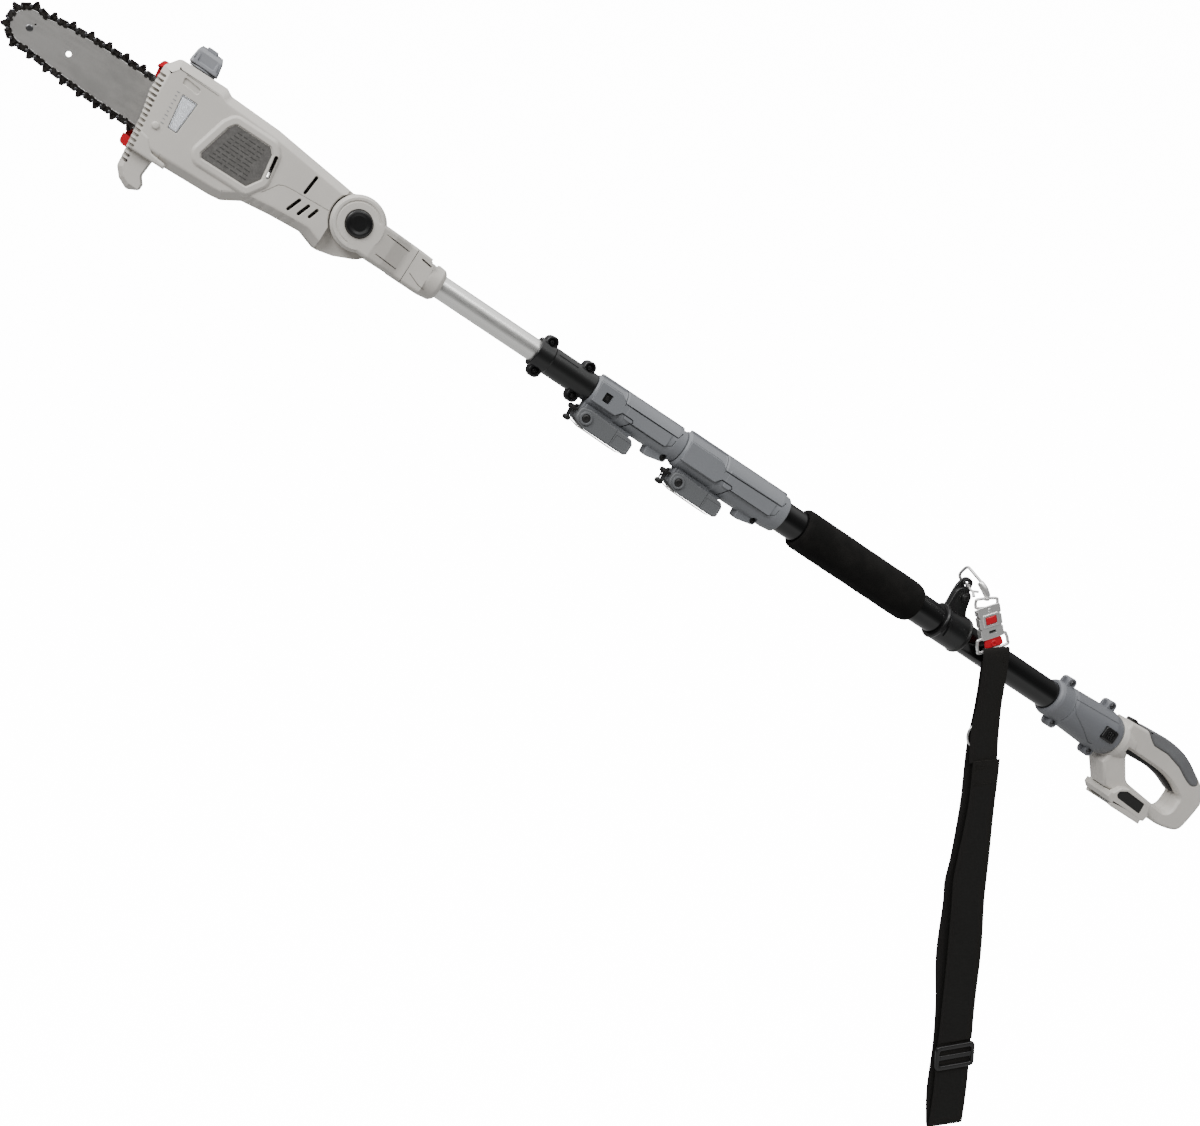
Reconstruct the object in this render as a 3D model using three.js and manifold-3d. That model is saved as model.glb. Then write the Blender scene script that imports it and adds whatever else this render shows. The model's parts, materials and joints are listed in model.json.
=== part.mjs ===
// A cordless telescoping pole saw with a shoulder strap, in millimetres, +Z up.
// The pole lies in the XZ plane, saw head up at -X, handle down at +X, sloped as it is carried.
// The origin is on the pole's axis at the middle of the foam grip. Everything on the pole is built
// in the pole's own frame (X along the pole towards the handle, Z away from the lock levers) inside
// one group that is turned by CARRY_SLOPE; the strap hangs plumb in the part's frame.
import * as THREE from "three";
import { mergeVertices } from "three/addons/utils/BufferGeometryUtils.js";
import Module from "manifold-3d";

const wasm = await Module();
wasm.setup();

const CARRY_SLOPE = THREE.MathUtils.degToRad(34.54);
const GAP = 0.3; // between pieces that touch
const ROUND = 20; // facets of a round piece

// Pole: outer radii, one wall for all, and where each tube starts and ends along the pole.
const WALL = 1.7;
const OUTER_TUBE = { r: 18.5, from: -262, to: 402 };
const MIDDLE_TUBE = { r: 16.2, from: -384, to: 250 };
const INNER_TUBE = { r: 13.9, from: -424, to: 240 };
const HEAD_TUBE = { r: 12.4, from: -638, to: -428 };
const FOAM = { r: 25, from: -92, to: 92 };

// Flip locks: one collar on the middle tube, one on the outer tube.
const LOCK_1 = {
  front: -391, rear: -270, step: -352, r: 20, bolt: [-382, -30], end: 10.5, screw: [-281.5, -19.4],
};
const LOCK_2 = {
  front: -269.4, rear: -122, step: -214, r: 23.5, bolt: [-253, -33], end: 10, screw: [-149, -22.4],
};
const LEVER_LENGTH = 61; // from the bolt to the free end

const COUPLING = { from: -466, to: -391.6, r: 16.3, flange: -445 };

// Saw head: tilt pivot, bar and chain, drive.
const PIVOT = [-691, 6];
const CHEEK_R = 28;
const CHEEK_Y = [24, 38];
const TONGUE_Y = 23.4;
const HEAD_Y = 34; // half width of the motor housing
const BAR_Y = 14;
const BAR_THICK = 3.2;
const NOSE = [-1030, -12];
const NOSE_R = 16.6;
const BAR_HALF = 22.3;
const BAR_TAIL = -878;
const SPROCKET = [-858, -11];
const MOTOR_Y = -12;
const CROWN = { teeth: 24, r: 15, y: -7 };
const PINION = { teeth: 8, r: 5 };

// Strap: its middle layer's distance from the pole's axis.
const STRAP_Y = -34;

const color = (hex, roughness, metalness = 0) =>
  new THREE.MeshStandardMaterial({ color: hex, roughness, metalness });
const M = {
  shell: color(0xbebab2, 0.55),
  cap: color(0x8f9296, 0.55),
  lock: color(0x898d91, 0.6),
  lever: color(0x6e7175, 0.6),
  red: color(0xc4142a, 0.45),
  black: color(0x141414, 0.4),
  gloss: color(0x0c0c0c, 0.25),
  foam: color(0x1c1a18, 0.95),
  grip: color(0x5f6164, 0.8),
  plate: color(0x696662, 0.5),
  clear: color(0xd8dcdc, 0.3),
  webbing: color(0x14120f, 0.9),
  steel: color(0xb4b6b8, 0.3, 0.9),
  bar: color(0x9fa1a3, 0.35, 0.9),
  chain: color(0x3b3834, 0.4, 0.9),
  alloy: color(0xd2d4d6, 0.25, 0.9),
  copper: color(0xa8622c, 0.4, 0.8),
  brass: color(0xb59a55, 0.35, 0.9),
};

// ---- geometry helpers ----

// A closed three.js geometry as a solid, its faces turned outwards.
function solid(geometry) {
  const plain = geometry.index ? geometry.toNonIndexed() : geometry.clone();
  for (const name of Object.keys(plain.attributes)) if (name !== "position") plain.deleteAttribute(name);
  const merged = mergeVertices(plain, 1e-4);
  const at = merged.attributes.position.array;
  const corner = (i) => new THREE.Vector3(at[3 * i], at[3 * i + 1], at[3 * i + 2]);
  const faces = [];
  let volume = 0;
  for (let i = 0; i < merged.index.count; i += 3) {
    const [a, b, c] = [0, 1, 2].map((k) => merged.index.array[i + k]);
    if (a === b || b === c || c === a) continue;
    faces.push(a, b, c);
    volume += corner(a).dot(corner(b).cross(corner(c)));
  }
  if (volume < 0) for (let i = 0; i < faces.length; i += 3) faces.push(...faces.splice(0, 3).reverse());
  const triVerts = new Uint32Array(faces);
  return new wasm.Manifold(new wasm.Mesh({ numProp: 3, vertProperties: at, triVerts }));
}

const join = (...solids) => solids.reduce((all, next) => all.add(next));
const cut = (body, ...tools) => tools.reduce((left, tool) => left.subtract(tool), body);

// Adds a named piece to a group.
function piece(group, name, body, material) {
  const made = body.getMesh();
  const geometry = new THREE.BufferGeometry();
  geometry.setAttribute("position", new THREE.BufferAttribute(new Float32Array(made.vertProperties), 3));
  geometry.setIndex(new THREE.BufferAttribute(new Uint32Array(made.triVerts), 1));
  geometry.computeVertexNormals();
  const mesh = new THREE.Mesh(geometry, material);
  mesh.name = name;
  group.add(mesh);
  return mesh;
}

const box = (x0, x1, y0, y1, z0, z1) =>
  solid(new THREE.BoxGeometry(x1 - x0, y1 - y0, z1 - z0)
    .translate((x0 + x1) / 2, (y0 + y1) / 2, (z0 + z1) / 2));

// A closed outline from points; an entry of four numbers is a curve's control point and its end.
function outline(points) {
  const shape = new THREE.Shape();
  shape.moveTo(...points[0]);
  for (const p of points.slice(1)) p.length === 2 ? shape.lineTo(...p) : shape.quadraticCurveTo(...p);
  shape.closePath();
  return shape;
}

function extrude(shape, depth, bevel, curveSegments) {
  const options = { depth: depth - 2 * bevel, bevelEnabled: bevel > 0, curveSegments };
  Object.assign(options, { bevelThickness: bevel, bevelSize: bevel, bevelOffset: -bevel,
    bevelSegments: 2 });
  return new THREE.ExtrudeGeometry(shape, options).translate(0, 0, bevel);
}

// An outline in the X-Z plane, from y0 to y1.
const plate = (shape, y0, y1, bevel = 0, segments = 4) =>
  solid(extrude(shape, y1 - y0, bevel, segments).rotateX(Math.PI / 2).translate(0, y1, 0));

// An outline in the X-Y plane, from z0 to z1.
const slab = (shape, z0, z1) => solid(extrude(shape, z1 - z0, 0, 4).translate(0, 0, z0));

// A turned piece from [radius, distance along the axis] pairs.
const turned = (profile, segments = ROUND) =>
  new THREE.LatheGeometry(profile.map(([r, at]) => new THREE.Vector2(r, at)), segments);
const turnedX = (profile, y = 0, z = 0, segments = ROUND) =>
  solid(turned(profile, segments).rotateZ(-Math.PI / 2).translate(0, y, z));
const turnedY = (profile, x, z, segments = ROUND) => solid(turned(profile, segments).translate(x, 0, z));
const turnedZ = (profile, x, y, segments = ROUND) =>
  solid(turned(profile, segments).rotateX(Math.PI / 2).translate(x, y, 0));

const rod = (r, from, to) => [[0, from], [r, from], [r, to], [0, to]];
const ring = (inner, outer, from, to) => [[inner, from], [outer, from], [outer, to], [inner, to],
  [inner, from]];
const rodX = (r, x0, x1, y = 0, z = 0, n = ROUND) => turnedX(rod(r, x0, x1), y, z, n);
const rodY = (r, y0, y1, x, z, n = ROUND) => turnedY(rod(r, y0, y1), x, z, n);
const rodZ = (r, z0, z1, x, y, n = ROUND) => turnedZ(rod(r, z0, z1), x, y, n);

// A bar with round ends between two points of the X-Z plane, from y0 to y1.
function slot([x0, z0], [x1, z1], r, y0, y1) {
  const shape = new THREE.Shape();
  const turn = Math.atan2(z1 - z0, x1 - x0);
  shape.absarc(x1, z1, r, turn - Math.PI / 2, turn + Math.PI / 2);
  shape.absarc(x0, z0, r, turn + Math.PI / 2, turn + 1.5 * Math.PI);
  return plate(shape, y0, y1, 0, 5);
}

// A wire of round section along points of the part's frame.
function wire(points, r, sides, steps, closed = false) {
  const section = new THREE.Shape().absarc(0, 0, r, 0, 2 * Math.PI);
  const path = new THREE.CatmullRomCurve3(points.map((p) => new THREE.Vector3(...p)), closed);
  return solid(new THREE.ExtrudeGeometry(section,
    { steps, extrudePath: path, curveSegments: sides / 2 }));
}

// A cross-recessed pan-head screw along Y, its head at the near side.
function screwY(x, z, headY, tipY, headR = 3.4) {
  const head = rodY(headR, headY, headY + 2.2, x, z, 12);
  const recess = join(
    box(x - 0.5, x + 0.5, headY - 1, headY + 1.2, z - 2, z + 2),
    box(x - 2, x + 2, headY - 1, headY + 1.2, z - 0.5, z + 0.5));
  return join(cut(head, recess), rodY(headR * 0.5, headY + 2, tipY, x, z, 12));
}

// ---- saw head ----

// The bar's outline grown by a distance; without a tail it runs on round the drive sprocket.
function barLoop(grow, tail) {
  const half = BAR_HALF + grow;
  const r = NOSE_R + grow;
  const [nx, nz] = NOSE;
  const middle = SPROCKET[1];
  const shape = new THREE.Shape();
  shape.moveTo(BAR_TAIL + 6, middle + half * (tail ? 0.92 : 1));
  shape.lineTo(BAR_TAIL - 22, middle + half);
  shape.lineTo(-950, middle + half);
  shape.quadraticCurveTo(-1000, middle + half - 1, nx + 0.35 * r, nz + 0.94 * r);
  shape.absarc(nx, nz, r, 1.21, 2 * Math.PI - 1.21, false);
  shape.quadraticCurveTo(-1000, middle - half + 1, -950, middle - half);
  shape.lineTo(BAR_TAIL - 22, middle - half);
  shape.lineTo(BAR_TAIL + 6, middle - half * (tail ? 0.92 : 1));
  if (!tail) shape.absarc(...SPROCKET, 10.5 + grow, -1.2, 1.2, false);
  return shape;
}

function bar(head) {
  const y0 = BAR_Y - BAR_THICK / 2;
  const y1 = BAR_Y + BAR_THICK / 2;
  const [nx, nz] = NOSE;
  const blank = plate(barLoop(0, true), y0, y1, 0, 9);
  const noseSlot = rodY(NOSE_R + 4, BAR_Y - 0.8, BAR_Y + 0.8, nx, nz, 28);
  const rivetHole = rodY(3.4, y0 - 1, y1 + 1, nx, nz, 20);
  const studSlot = slot([-900, SPROCKET[1]], [-884, SPROCKET[1]], 4.3, y0 - 1, y1 + 1);
  const rightHole = rodY(2.4, y0 - 1, y1 + 1, -991, -12, 16);
  const smallHole = rodY(1, y0 - 1, y1 + 1, -1027, -6.5, 10);
  const tensionHole = rodY(2.6, y0 - 1, y1 + 1, -893, SPROCKET[1] - 12, 16);
  piece(head, "guide_bar", cut(blank, noseSlot, rivetHole, studSlot, rightHole, smallHole,
    tensionHole), M.bar);

  const star = new THREE.Shape();
  const teeth = 9;
  for (let i = 0; i < 2 * teeth; i++) {
    const a = (i * Math.PI) / teeth;
    const r = i % 2 ? 12.5 : 15.8;
    i ? star.lineTo(nx + r * Math.cos(a), nz + r * Math.sin(a)) : star.moveTo(nx + r, nz);
  }
  const hub = rodY(3.4, BAR_Y - 2, BAR_Y + 2, nx, nz, 20);
  piece(head, "nose_sprocket", cut(plate(star, BAR_Y - 0.5, BAR_Y + 0.5), hub), M.chain);
  piece(head, "nose_rivet", join(
    rodY(3.1, y0 - 0.2, y1 + 0.2, nx, nz, 20),
    rodY(2.2, y0 - 0.7, y1 + 0.7, nx, nz, 20)), M.steel);
}

// The chain is one closed band round bar and sprocket, with a cutter standing on it at each pitch.
function chain(head) {
  const band = cut(
    plate(barLoop(5.2, false), BAR_Y - 2, BAR_Y + 2, 0, 8),
    plate(barLoop(GAP + 0.1, false), BAR_Y - 3, BAR_Y + 3, 0, 8));
  const cutters = [];
  const pitch = 25;
  const cutterAt = (x, z, turn) => {
    const tooth = new THREE.ExtrudeGeometry(
      outline([[-5, 0], [5, 0], [4.6, 3.4], [1.2, 2.9], [0.4, 1.2], [-1.4, 1.2], [-2, 2.7], [-4.4, 2.3]]),
      { depth: 4, bevelEnabled: false });
    tooth.rotateX(Math.PI / 2).translate(0, 2, 0).rotateY(-turn).translate(x, BAR_Y, z);
    cutters.push(solid(tooth));
  };
  const top = SPROCKET[1] + BAR_HALF + 4.8;
  const bottom = SPROCKET[1] - BAR_HALF - 4.8;
  const drop = (x) => 7.5 * (Math.min(0, x + 950) / 72) ** 2;
  for (let i = 0; i < 4; i++) {
    const [x0, x1] = [-920 - i * pitch, -932 - i * pitch];
    cutterAt(x0, top - drop(x0), 0);
    cutterAt(x1, bottom + drop(x1), Math.PI);
  }
  for (const turn of [0.35, 1.05, 1.75, 2.45]) {
    const r = NOSE_R + 4.6;
    cutterAt(NOSE[0] - r * Math.sin(turn), NOSE[1] + r * Math.cos(turn), turn);
  }
  piece(head, "saw_chain", join(band, ...cutters), M.chain);
}

// Housing outline seen from the side: body, pivot tongue and the hooked branch guard at the front.
const HOUSING_TOP = [
  [-914, 14], [-914, 30], [-913, 37, -905, 42], [-857, 43], [-852, 39], [-798, 38], [-771, 35],
  [-724, 30], [-712, 26.5],
];
const HOUSING_BOTTOM = [
  [-731, -30], [-763, -34], [-790, -37.5], [-800, -39, -806, -45], [-812, -50, -822, -50],
  [-876, -51],
];
const GUARD = [
  [-879, -54], [-881, -67], [-880, -72, -876, -78], [-874, -83, -880, -86], [-886, -89, -892, -87],
  [-899, -84, -905, -75], [-905, -68], [-908, -28],
];
const TONGUE_R = 27;
const LOBE = [[-668, -12], [-667, -20], [-680, -29, -695, -34], [-710, -40, -722, -34.5]];

function housingOutline() {
  const shape = new THREE.Shape();
  const draw = (p) => (p.length === 2 ? shape.lineTo(...p) : shape.quadraticCurveTo(...p));
  shape.moveTo(...HOUSING_TOP[0]);
  HOUSING_TOP.slice(1).forEach(draw);
  shape.absarc(...PIVOT, TONGUE_R, 2.25, -0.62, true);
  LOBE.forEach(draw);
  HOUSING_BOTTOM.forEach(draw);
  GUARD.forEach(draw);
  shape.closePath();
  return shape;
}

// The room inside the housing, kept clear of the pivot tongue.
const CAVITY = [
  [-900, 12], [-900, 38], [-862, 38], [-856, 34.5], [-798, 33.5], [-771, 30.5], [-728, 26],
  [-728, -25], [-763, -29.5], [-795, -33.5], [-806, -40], [-820, -45], [-880, -46], [-896, -20],
];
const VENTS = [
  [[-788, 14], [-785.5, -6]], [[-747, 19], [-748.5, 2]],
  [[-749.5, -8], [-754, -19]], [[-740, -8], [-743.5, -17.5]], [[-731, -7], [-733.5, -14.5]],
];
const WINDOW = [[-887, 14], [-872, 14], [-874, -19], [-884, -19]];
const RATING = [[-834, 19], [-796, 19], [-793, 15], [-790, -11], [-798, -24], [-845, -25],
  [-847, -22], [-838, 12]];

// Everything outside the tongue's thickness round the pivot, where the neck's cheek turns.
function cheekRoom(y0, y1) {
  return join(
    rodY(CHEEK_R + 1.4, y0, y1, ...PIVOT, 32),
    box(-716, -640, y0, y1, -60, 60));
}

function serrations(y0, y1) {
  const ribs = [];
  const from = [-914.6, 22];
  const to = [-905.2, -70];
  const count = 19;
  for (let i = 0; i < count; i++) {
    const t = i / (count - 1);
    const x = from[0] + (to[0] - from[0]) * t;
    const z = from[1] + (to[1] - from[1]) * t;
    ribs.push(box(x - 0.2, x + 6.4, y0 - 0.9, y1, z - 1.5, z + 1.5));
  }
  return ribs;
}

function nearHousing(head) {
  const outer = plate(housingOutline(), -HEAD_Y, -0.15, 0, 6);
  const front = slab(outline([[-925, -40], [-925, -27], [-905, -31], [-880, -HEAD_Y - 1],
    [-880, -40]]), -95, 60);
  const guardFace = box(-920, -872, -40, -27, -95, -52);
  const slope = slab(outline([[-735, -40], [-700, -40], [-700, -24], [-716, -29], [-735, -HEAD_Y]]),
    -60, 60);
  const room = plate(outline(CAVITY), -HEAD_Y + 3, 1);
  const pivotHole = rodY(6.3, -60, 1, ...PIVOT);
  const hookPocket = plate(outline([[-900, -62], [-884, -58], [-886, -72], [-890, -80], [-899, -74]]),
    -30, -4);
  const vents = VENTS.map(([a, b]) => slot(a, b, 1.5, -HEAD_Y - 1, -HEAD_Y + 4));
  const shell = cut(
    join(outer, ...serrations(-27.2, -6)), front, guardFace, slope, room, pivotHole, hookPocket,
    cheekRoom(-60, -TONGUE_Y), ...vents,
    plate(outline(WINDOW), -HEAD_Y - 1, -HEAD_Y + 4),
    plate(outline(RATING), -HEAD_Y - 1, -HEAD_Y + 0.9),
    rodZ(10.3, 30, 60, -884.5, -6));
  piece(head, "head_shell_near", shell, M.shell);
}

function farHousing(head) {
  const outer = plate(housingOutline(), 0.15, HEAD_Y - 4, 0, 6);
  const barSide = box(-930, -836, 9, 60, -100, 60);
  const slope = slab(outline([[-735, 40], [-700, 40], [-700, 24], [-716, 26], [-735, HEAD_Y - 4]]),
    -60, 60);
  const room = cut(plate(outline(CAVITY), -1, HEAD_Y - 7), box(-930, -833, 6, 60, -100, 60));
  const shaftHole = rodY(4.3, -1, 20, ...SPROCKET, 24);
  const studHole = rodY(3.3, -1, 20, -890, SPROCKET[1], 20);
  const shell = cut(outer, barSide, slope, room, shaftHole, studHole,
    rodY(6.3, -1, 60, ...PIVOT), cheekRoom(TONGUE_Y, 60),
    box(-905, -872, 2.3, 12, -28, -19.6), rodZ(10.3, 30, 60, -884.5, -6));
  piece(head, "head_shell_far", shell, M.shell);
}

// The cover over the sprocket: a cup open towards the housing and towards the bar.
function sprocketCover(head) {
  const shape = outline([
    [-921, 26], [-920, 33, -912, 34], [-852, 34], [-837.4, 30, -836.4, 14], [-836.4, -38],
    [-837.4, -54, -852, -55],
    [-904, -57], [-914, -56, -915, -48], [-917, -12],
  ]);
  const inside = outline([
    [-930, 22], [-912, 29], [-854, 29], [-841, 26, -840.5, 12], [-840.5, -36], [-842, -50, -855, -50.5],
    [-904, -52], [-930, -46],
  ]);
  const cup = cut(plate(shape, 9 + GAP, 36, 0, 8), plate(inside, 5, 32, 0, 8));
  const boss = cut(rodY(9, 20, 33, -890, SPROCKET[1], 28), rodY(3.4, 0, 60, -890, SPROCKET[1], 20));
  const nutSeat = rodY(8.2, 30, 60, -890, SPROCKET[1], 28);
  piece(head, "sprocket_cover", cut(join(cup, boss), nutSeat,
    rodY(3.4, 0, 60, -890, SPROCKET[1], 20)), M.red);
  piece(head, "bar_stud", join(rodY(3, 1, 35, -890, SPROCKET[1], 20),
    rodY(6, 0.6, 5.6, -890, SPROCKET[1], 6)), M.steel);
  const nut = cut(
    join(rodY(7.6, 30 + GAP, 32, -890, SPROCKET[1], 28), rodY(6.4, 31, 38, -890, SPROCKET[1], 6)),
    rodY(3 + GAP, 0, 60, -890, SPROCKET[1], 20));
  piece(head, "bar_nut", nut, M.steel);
}

function drive(head) {
  const [sx, sz] = SPROCKET;
  const sprocketTeeth = [];
  for (let i = 0; i < 6; i++) {
    const tooth = new THREE.BoxGeometry(3, 5, 3.6).translate(8.6, 0, 0).rotateY((i * Math.PI) / 3);
    sprocketTeeth.push(solid(tooth.translate(sx, BAR_Y, sz)));
  }
  const shaft = rodY(4, -1, 21, sx, sz, 24);
  piece(head, "drive_sprocket", join(rodY(8, BAR_Y - 2.5, BAR_Y + 5, sx, sz, 30), shaft,
    ...sprocketTeeth), M.steel);

  const crownTeeth = [];
  for (let i = 0; i < CROWN.teeth; i++) {
    const tooth = new THREE.BoxGeometry(3.6, 1.7, 0.9).translate(CROWN.r - 0.9, CROWN.y + 0.35, 0);
    crownTeeth.push(solid(tooth.rotateY((2 * Math.PI * (i + 0.5)) / CROWN.teeth).translate(sx, 0, sz)));
  }
  const disc = cut(rodY(CROWN.r + 1.2, CROWN.y + 1, CROWN.y + 4.6, sx, sz, 32),
    rodY(4.2, -20, 0, sx, sz, 24));
  const cage = rodY(6, CROWN.y + 4.4, -1 - GAP, sx, sz, 24);
  piece(head, "crown_gear", join(disc, cut(cage, rodY(4, -20, -2, sx, sz, 24)), ...crownTeeth), M.brass);

  const pinionX = [sx + CROWN.r - 3, sx + CROWN.r + 1.2];
  const pinionTeeth = [];
  for (let i = 0; i < PINION.teeth; i++) {
    const tooth = new THREE.BoxGeometry(pinionX[1] - pinionX[0], 1, 1.8).translate(0, 0, PINION.r - 0.6);
    tooth.rotateX((2 * Math.PI * i) / PINION.teeth).translate((pinionX[0] + pinionX[1]) / 2, MOTOR_Y, sz);
    pinionTeeth.push(solid(tooth));
  }
  const arbor = rodX(2.2, pinionX[0] - 0.6, -766, MOTOR_Y, sz, 16);
  const armature = rodX(13.4, -822, -780, MOTOR_Y, sz, 28);
  const commutator = rodX(7, -780.5, -771, MOTOR_Y, sz, 24);
  const pinionHub = rodX(PINION.r - 1.3, pinionX[0], pinionX[1] + 3, MOTOR_Y, sz, 20);
  piece(head, "motor_rotor", join(arbor, armature, commutator, pinionHub, ...pinionTeeth), M.copper);

  const can = cut(
    rodX(17.6, -832, -764, MOTOR_Y, sz),
    rodX(14.6, -828, -768, MOTOR_Y, sz), rodX(2.6, -835, -760, MOTOR_Y, sz, 16),
    box(-816, -806, MOTOR_Y + 12, MOTOR_Y + 20, sz - 4, sz + 4),
    box(-786, -776, MOTOR_Y + 12, MOTOR_Y + 20, sz - 4, sz + 4));
  piece(head, "motor_can", can, M.steel);
  piece(head, "gearbox_plate", cut(
    box(-838, -833.5, -29, 4.5, -30, 8), rodX(2.9, -845, -830, MOTOR_Y, sz, 16)), M.lock);
}

function oilSystem(head) {
  const [cx, cy] = [-884.5, -6];
  const walls = cut(box(-895.5, -875, -30.4, 0, -18, 33), box(-893, -877.5, -28, -2.4, -15.6, 30.4));
  const tank = cut(join(walls, rodZ(8.8, 32, 41, cx, cy, 28)), rodZ(7, 25, 60, cx, cy, 28));
  piece(head, "oil_tank", tank, M.clear);
  const knob = new THREE.Shape();
  const ridges = 14;
  for (let i = 0; i < ridges * 2; i++) {
    const a = (Math.PI * i) / ridges;
    const r = 14.5 + (i % 2 ? 0.5 : -0.4);
    i ? knob.lineTo(cx + r * Math.cos(a), cy + r * Math.sin(a)) : knob.moveTo(cx + r, cy);
  }
  const cap = join(
    slab(knob, 48, 60), turnedZ([[0, 59.9], [14.4, 59.9], [12.4, 63.2], [0, 64]], cx, cy),
    rodZ(12.4, 43 + GAP, 48.5, cx, cy), box(cx - 5, cx + 5, cy - 10, cy + 10, 62, 66));
  piece(head, "oil_cap", join(cap, rodZ(6.7, 34, 44, cx, cy, 28)), M.cap);
  const inset = outline([[-886.3, 13.4], [-872.6, 13.4], [-874.5, -18.4], [-883.5, -18.4]]);
  piece(head, "oil_window", plate(inset, -HEAD_Y + 0.6, -HEAD_Y + 2.6), M.clear);
  const label = outline([
    [-833, 18.4], [-796.5, 18.4], [-793.6, 14.6], [-790.6, -11], [-798.4, -23.4], [-844.4, -24.4],
    [-846, -22],
    [-837.2, 12]]);
  piece(head, "rating_plate", plate(label, -HEAD_Y - 0.1, -HEAD_Y + 0.6), M.plate);
  piece(head, "chain_tension_screw", join(
    rodX(2, -903, -875, 6, -23.5, 12), rodX(3.4, -875.5, -873, 6, -23.5, 16),
    box(-894.6, -891.4, 5.5, 14, -24.4, -21.6)), M.steel);
}

// ---- neck and tilt joint ----

function neckHalf(side) {
  const near = side < 0;
  const span = (a, b) => (near ? [-b, -a] : [a, b]);
  const disc = [[0, 0], [CHEEK_R, 0], [CHEEK_R, 10.5], [CHEEK_R - 3.6, 14], [0, 14]];
  const cheek = turnedY(disc.map(([r, at]) => [r, side * (at + CHEEK_Y[0])]), ...PIVOT, 32);
  const arm = slab(outline(
    [[-691, 38], [-668, 38], [-646, 35, -632, 21], [-604, 19.6], [-604, 0.15], [-655, 0.15],
    [-655, 24], [-691, 24]]
      .map((p) => p.map((value, i) => (i % 2 ? side * value : value)))), -19, 20);
  const trim = plate(outline(
    [[-700, 40], [-700, 34], [-675, 27, -664, 21], [-604, 18.6], [-586, 16.4], [-580, 16.4],
    [-580, 60], [-700, 60]]),
    -60, 60);
  const sleeve = turnedX([[0, -612], [19.6, -612], [18.8, -596], [17, -589], [13.6, -585.6],
    [0, -585.6]]);
  const half = box(-760, -560, ...span(0.15, 60), -80, 80);
  const bore = rodX(HEAD_TUBE.r + GAP, -642, -560);
  const throat = rodY(36.8, ...span(-1, CHEEK_Y[0]), ...PIVOT, 32);
  const reliefs = [
    box(-664, -630, ...span(33.4, 60), 8, 11), box(-664, -630, ...span(33.4, 60), -10, -7),
    box(-609, -597, ...span(-1, 60), 15.6, 30)];
  let body = cut(join(cheek, arm, sleeve.intersect(half)), trim, bore, throat, ...reliefs);
  body = near
    ? cut(body, rodY(14, -60, -28, ...PIVOT), rodY(6.3, -40, -20, ...PIVOT))
    : cut(body, rodY(6.3, 20, 34, ...PIVOT));
  return body;
}

function neck(pole) {
  piece(pole, "neck_shell_near", neckHalf(-1), M.shell);
  piece(pole, "neck_shell_far", neckHalf(1), M.shell);
  piece(pole, "tilt_axle", rodY(6, -27, 33.4, ...PIVOT, 28), M.steel);
  piece(pole, "tilt_button", turnedY(
    [[0, -41.4], [9, -41.2], [12.4, -40.4], [13.6, -39], [13.6, -33.2], [0, -33.2]], ...PIVOT), M.black);
}

// ---- pole ----

function tube({ r, from, to }) {
  return turnedX(ring(r - WALL, r, from, to));
}

function couplingHalf(side) {
  const { from, to, r, flange } = COUPLING;
  const body = join(
    turnedX(rod(r, flange - 2, to)),
    turnedX([[0, from], [r + 0.8, from], [r + 0.8, flange - 2], [r, flange], [0, flange]]));
  const lug = (x0, x1) => [
    box(x0, x1, -8, 8, 10, r + 7.6), box(x0, x1, -8, 8, -r - 9, -10)];
  const half = side < 0 ? box(-500, -350, -60, -0.15, -60, 60) : box(-500, -350, 0.15, 60, -60, 60);
  const whole = cut(
    join(body, ...lug(-463, -446), ...lug(-414, -397)),
    rodX(HEAD_TUBE.r + GAP, -480, -426), rodX(INNER_TUBE.r + GAP, -426, -380),
    ...screwPlaces().map(([x, z]) => rodY(1.9, -60, 60, x, z, 12)),
    ...screwPlaces().map(([x, z]) => rodY(3.7, -60, -6, x, z, 12)));
  return whole.intersect(half);
}

const screwPlaces = () => [-454.5, -405.5].flatMap((x) => [[x, 20.4], [x, -21.4]]);

function coupling(pole) {
  piece(pole, "coupling_near", couplingHalf(-1), M.black);
  piece(pole, "coupling_far", couplingHalf(1), M.black);
}

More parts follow.
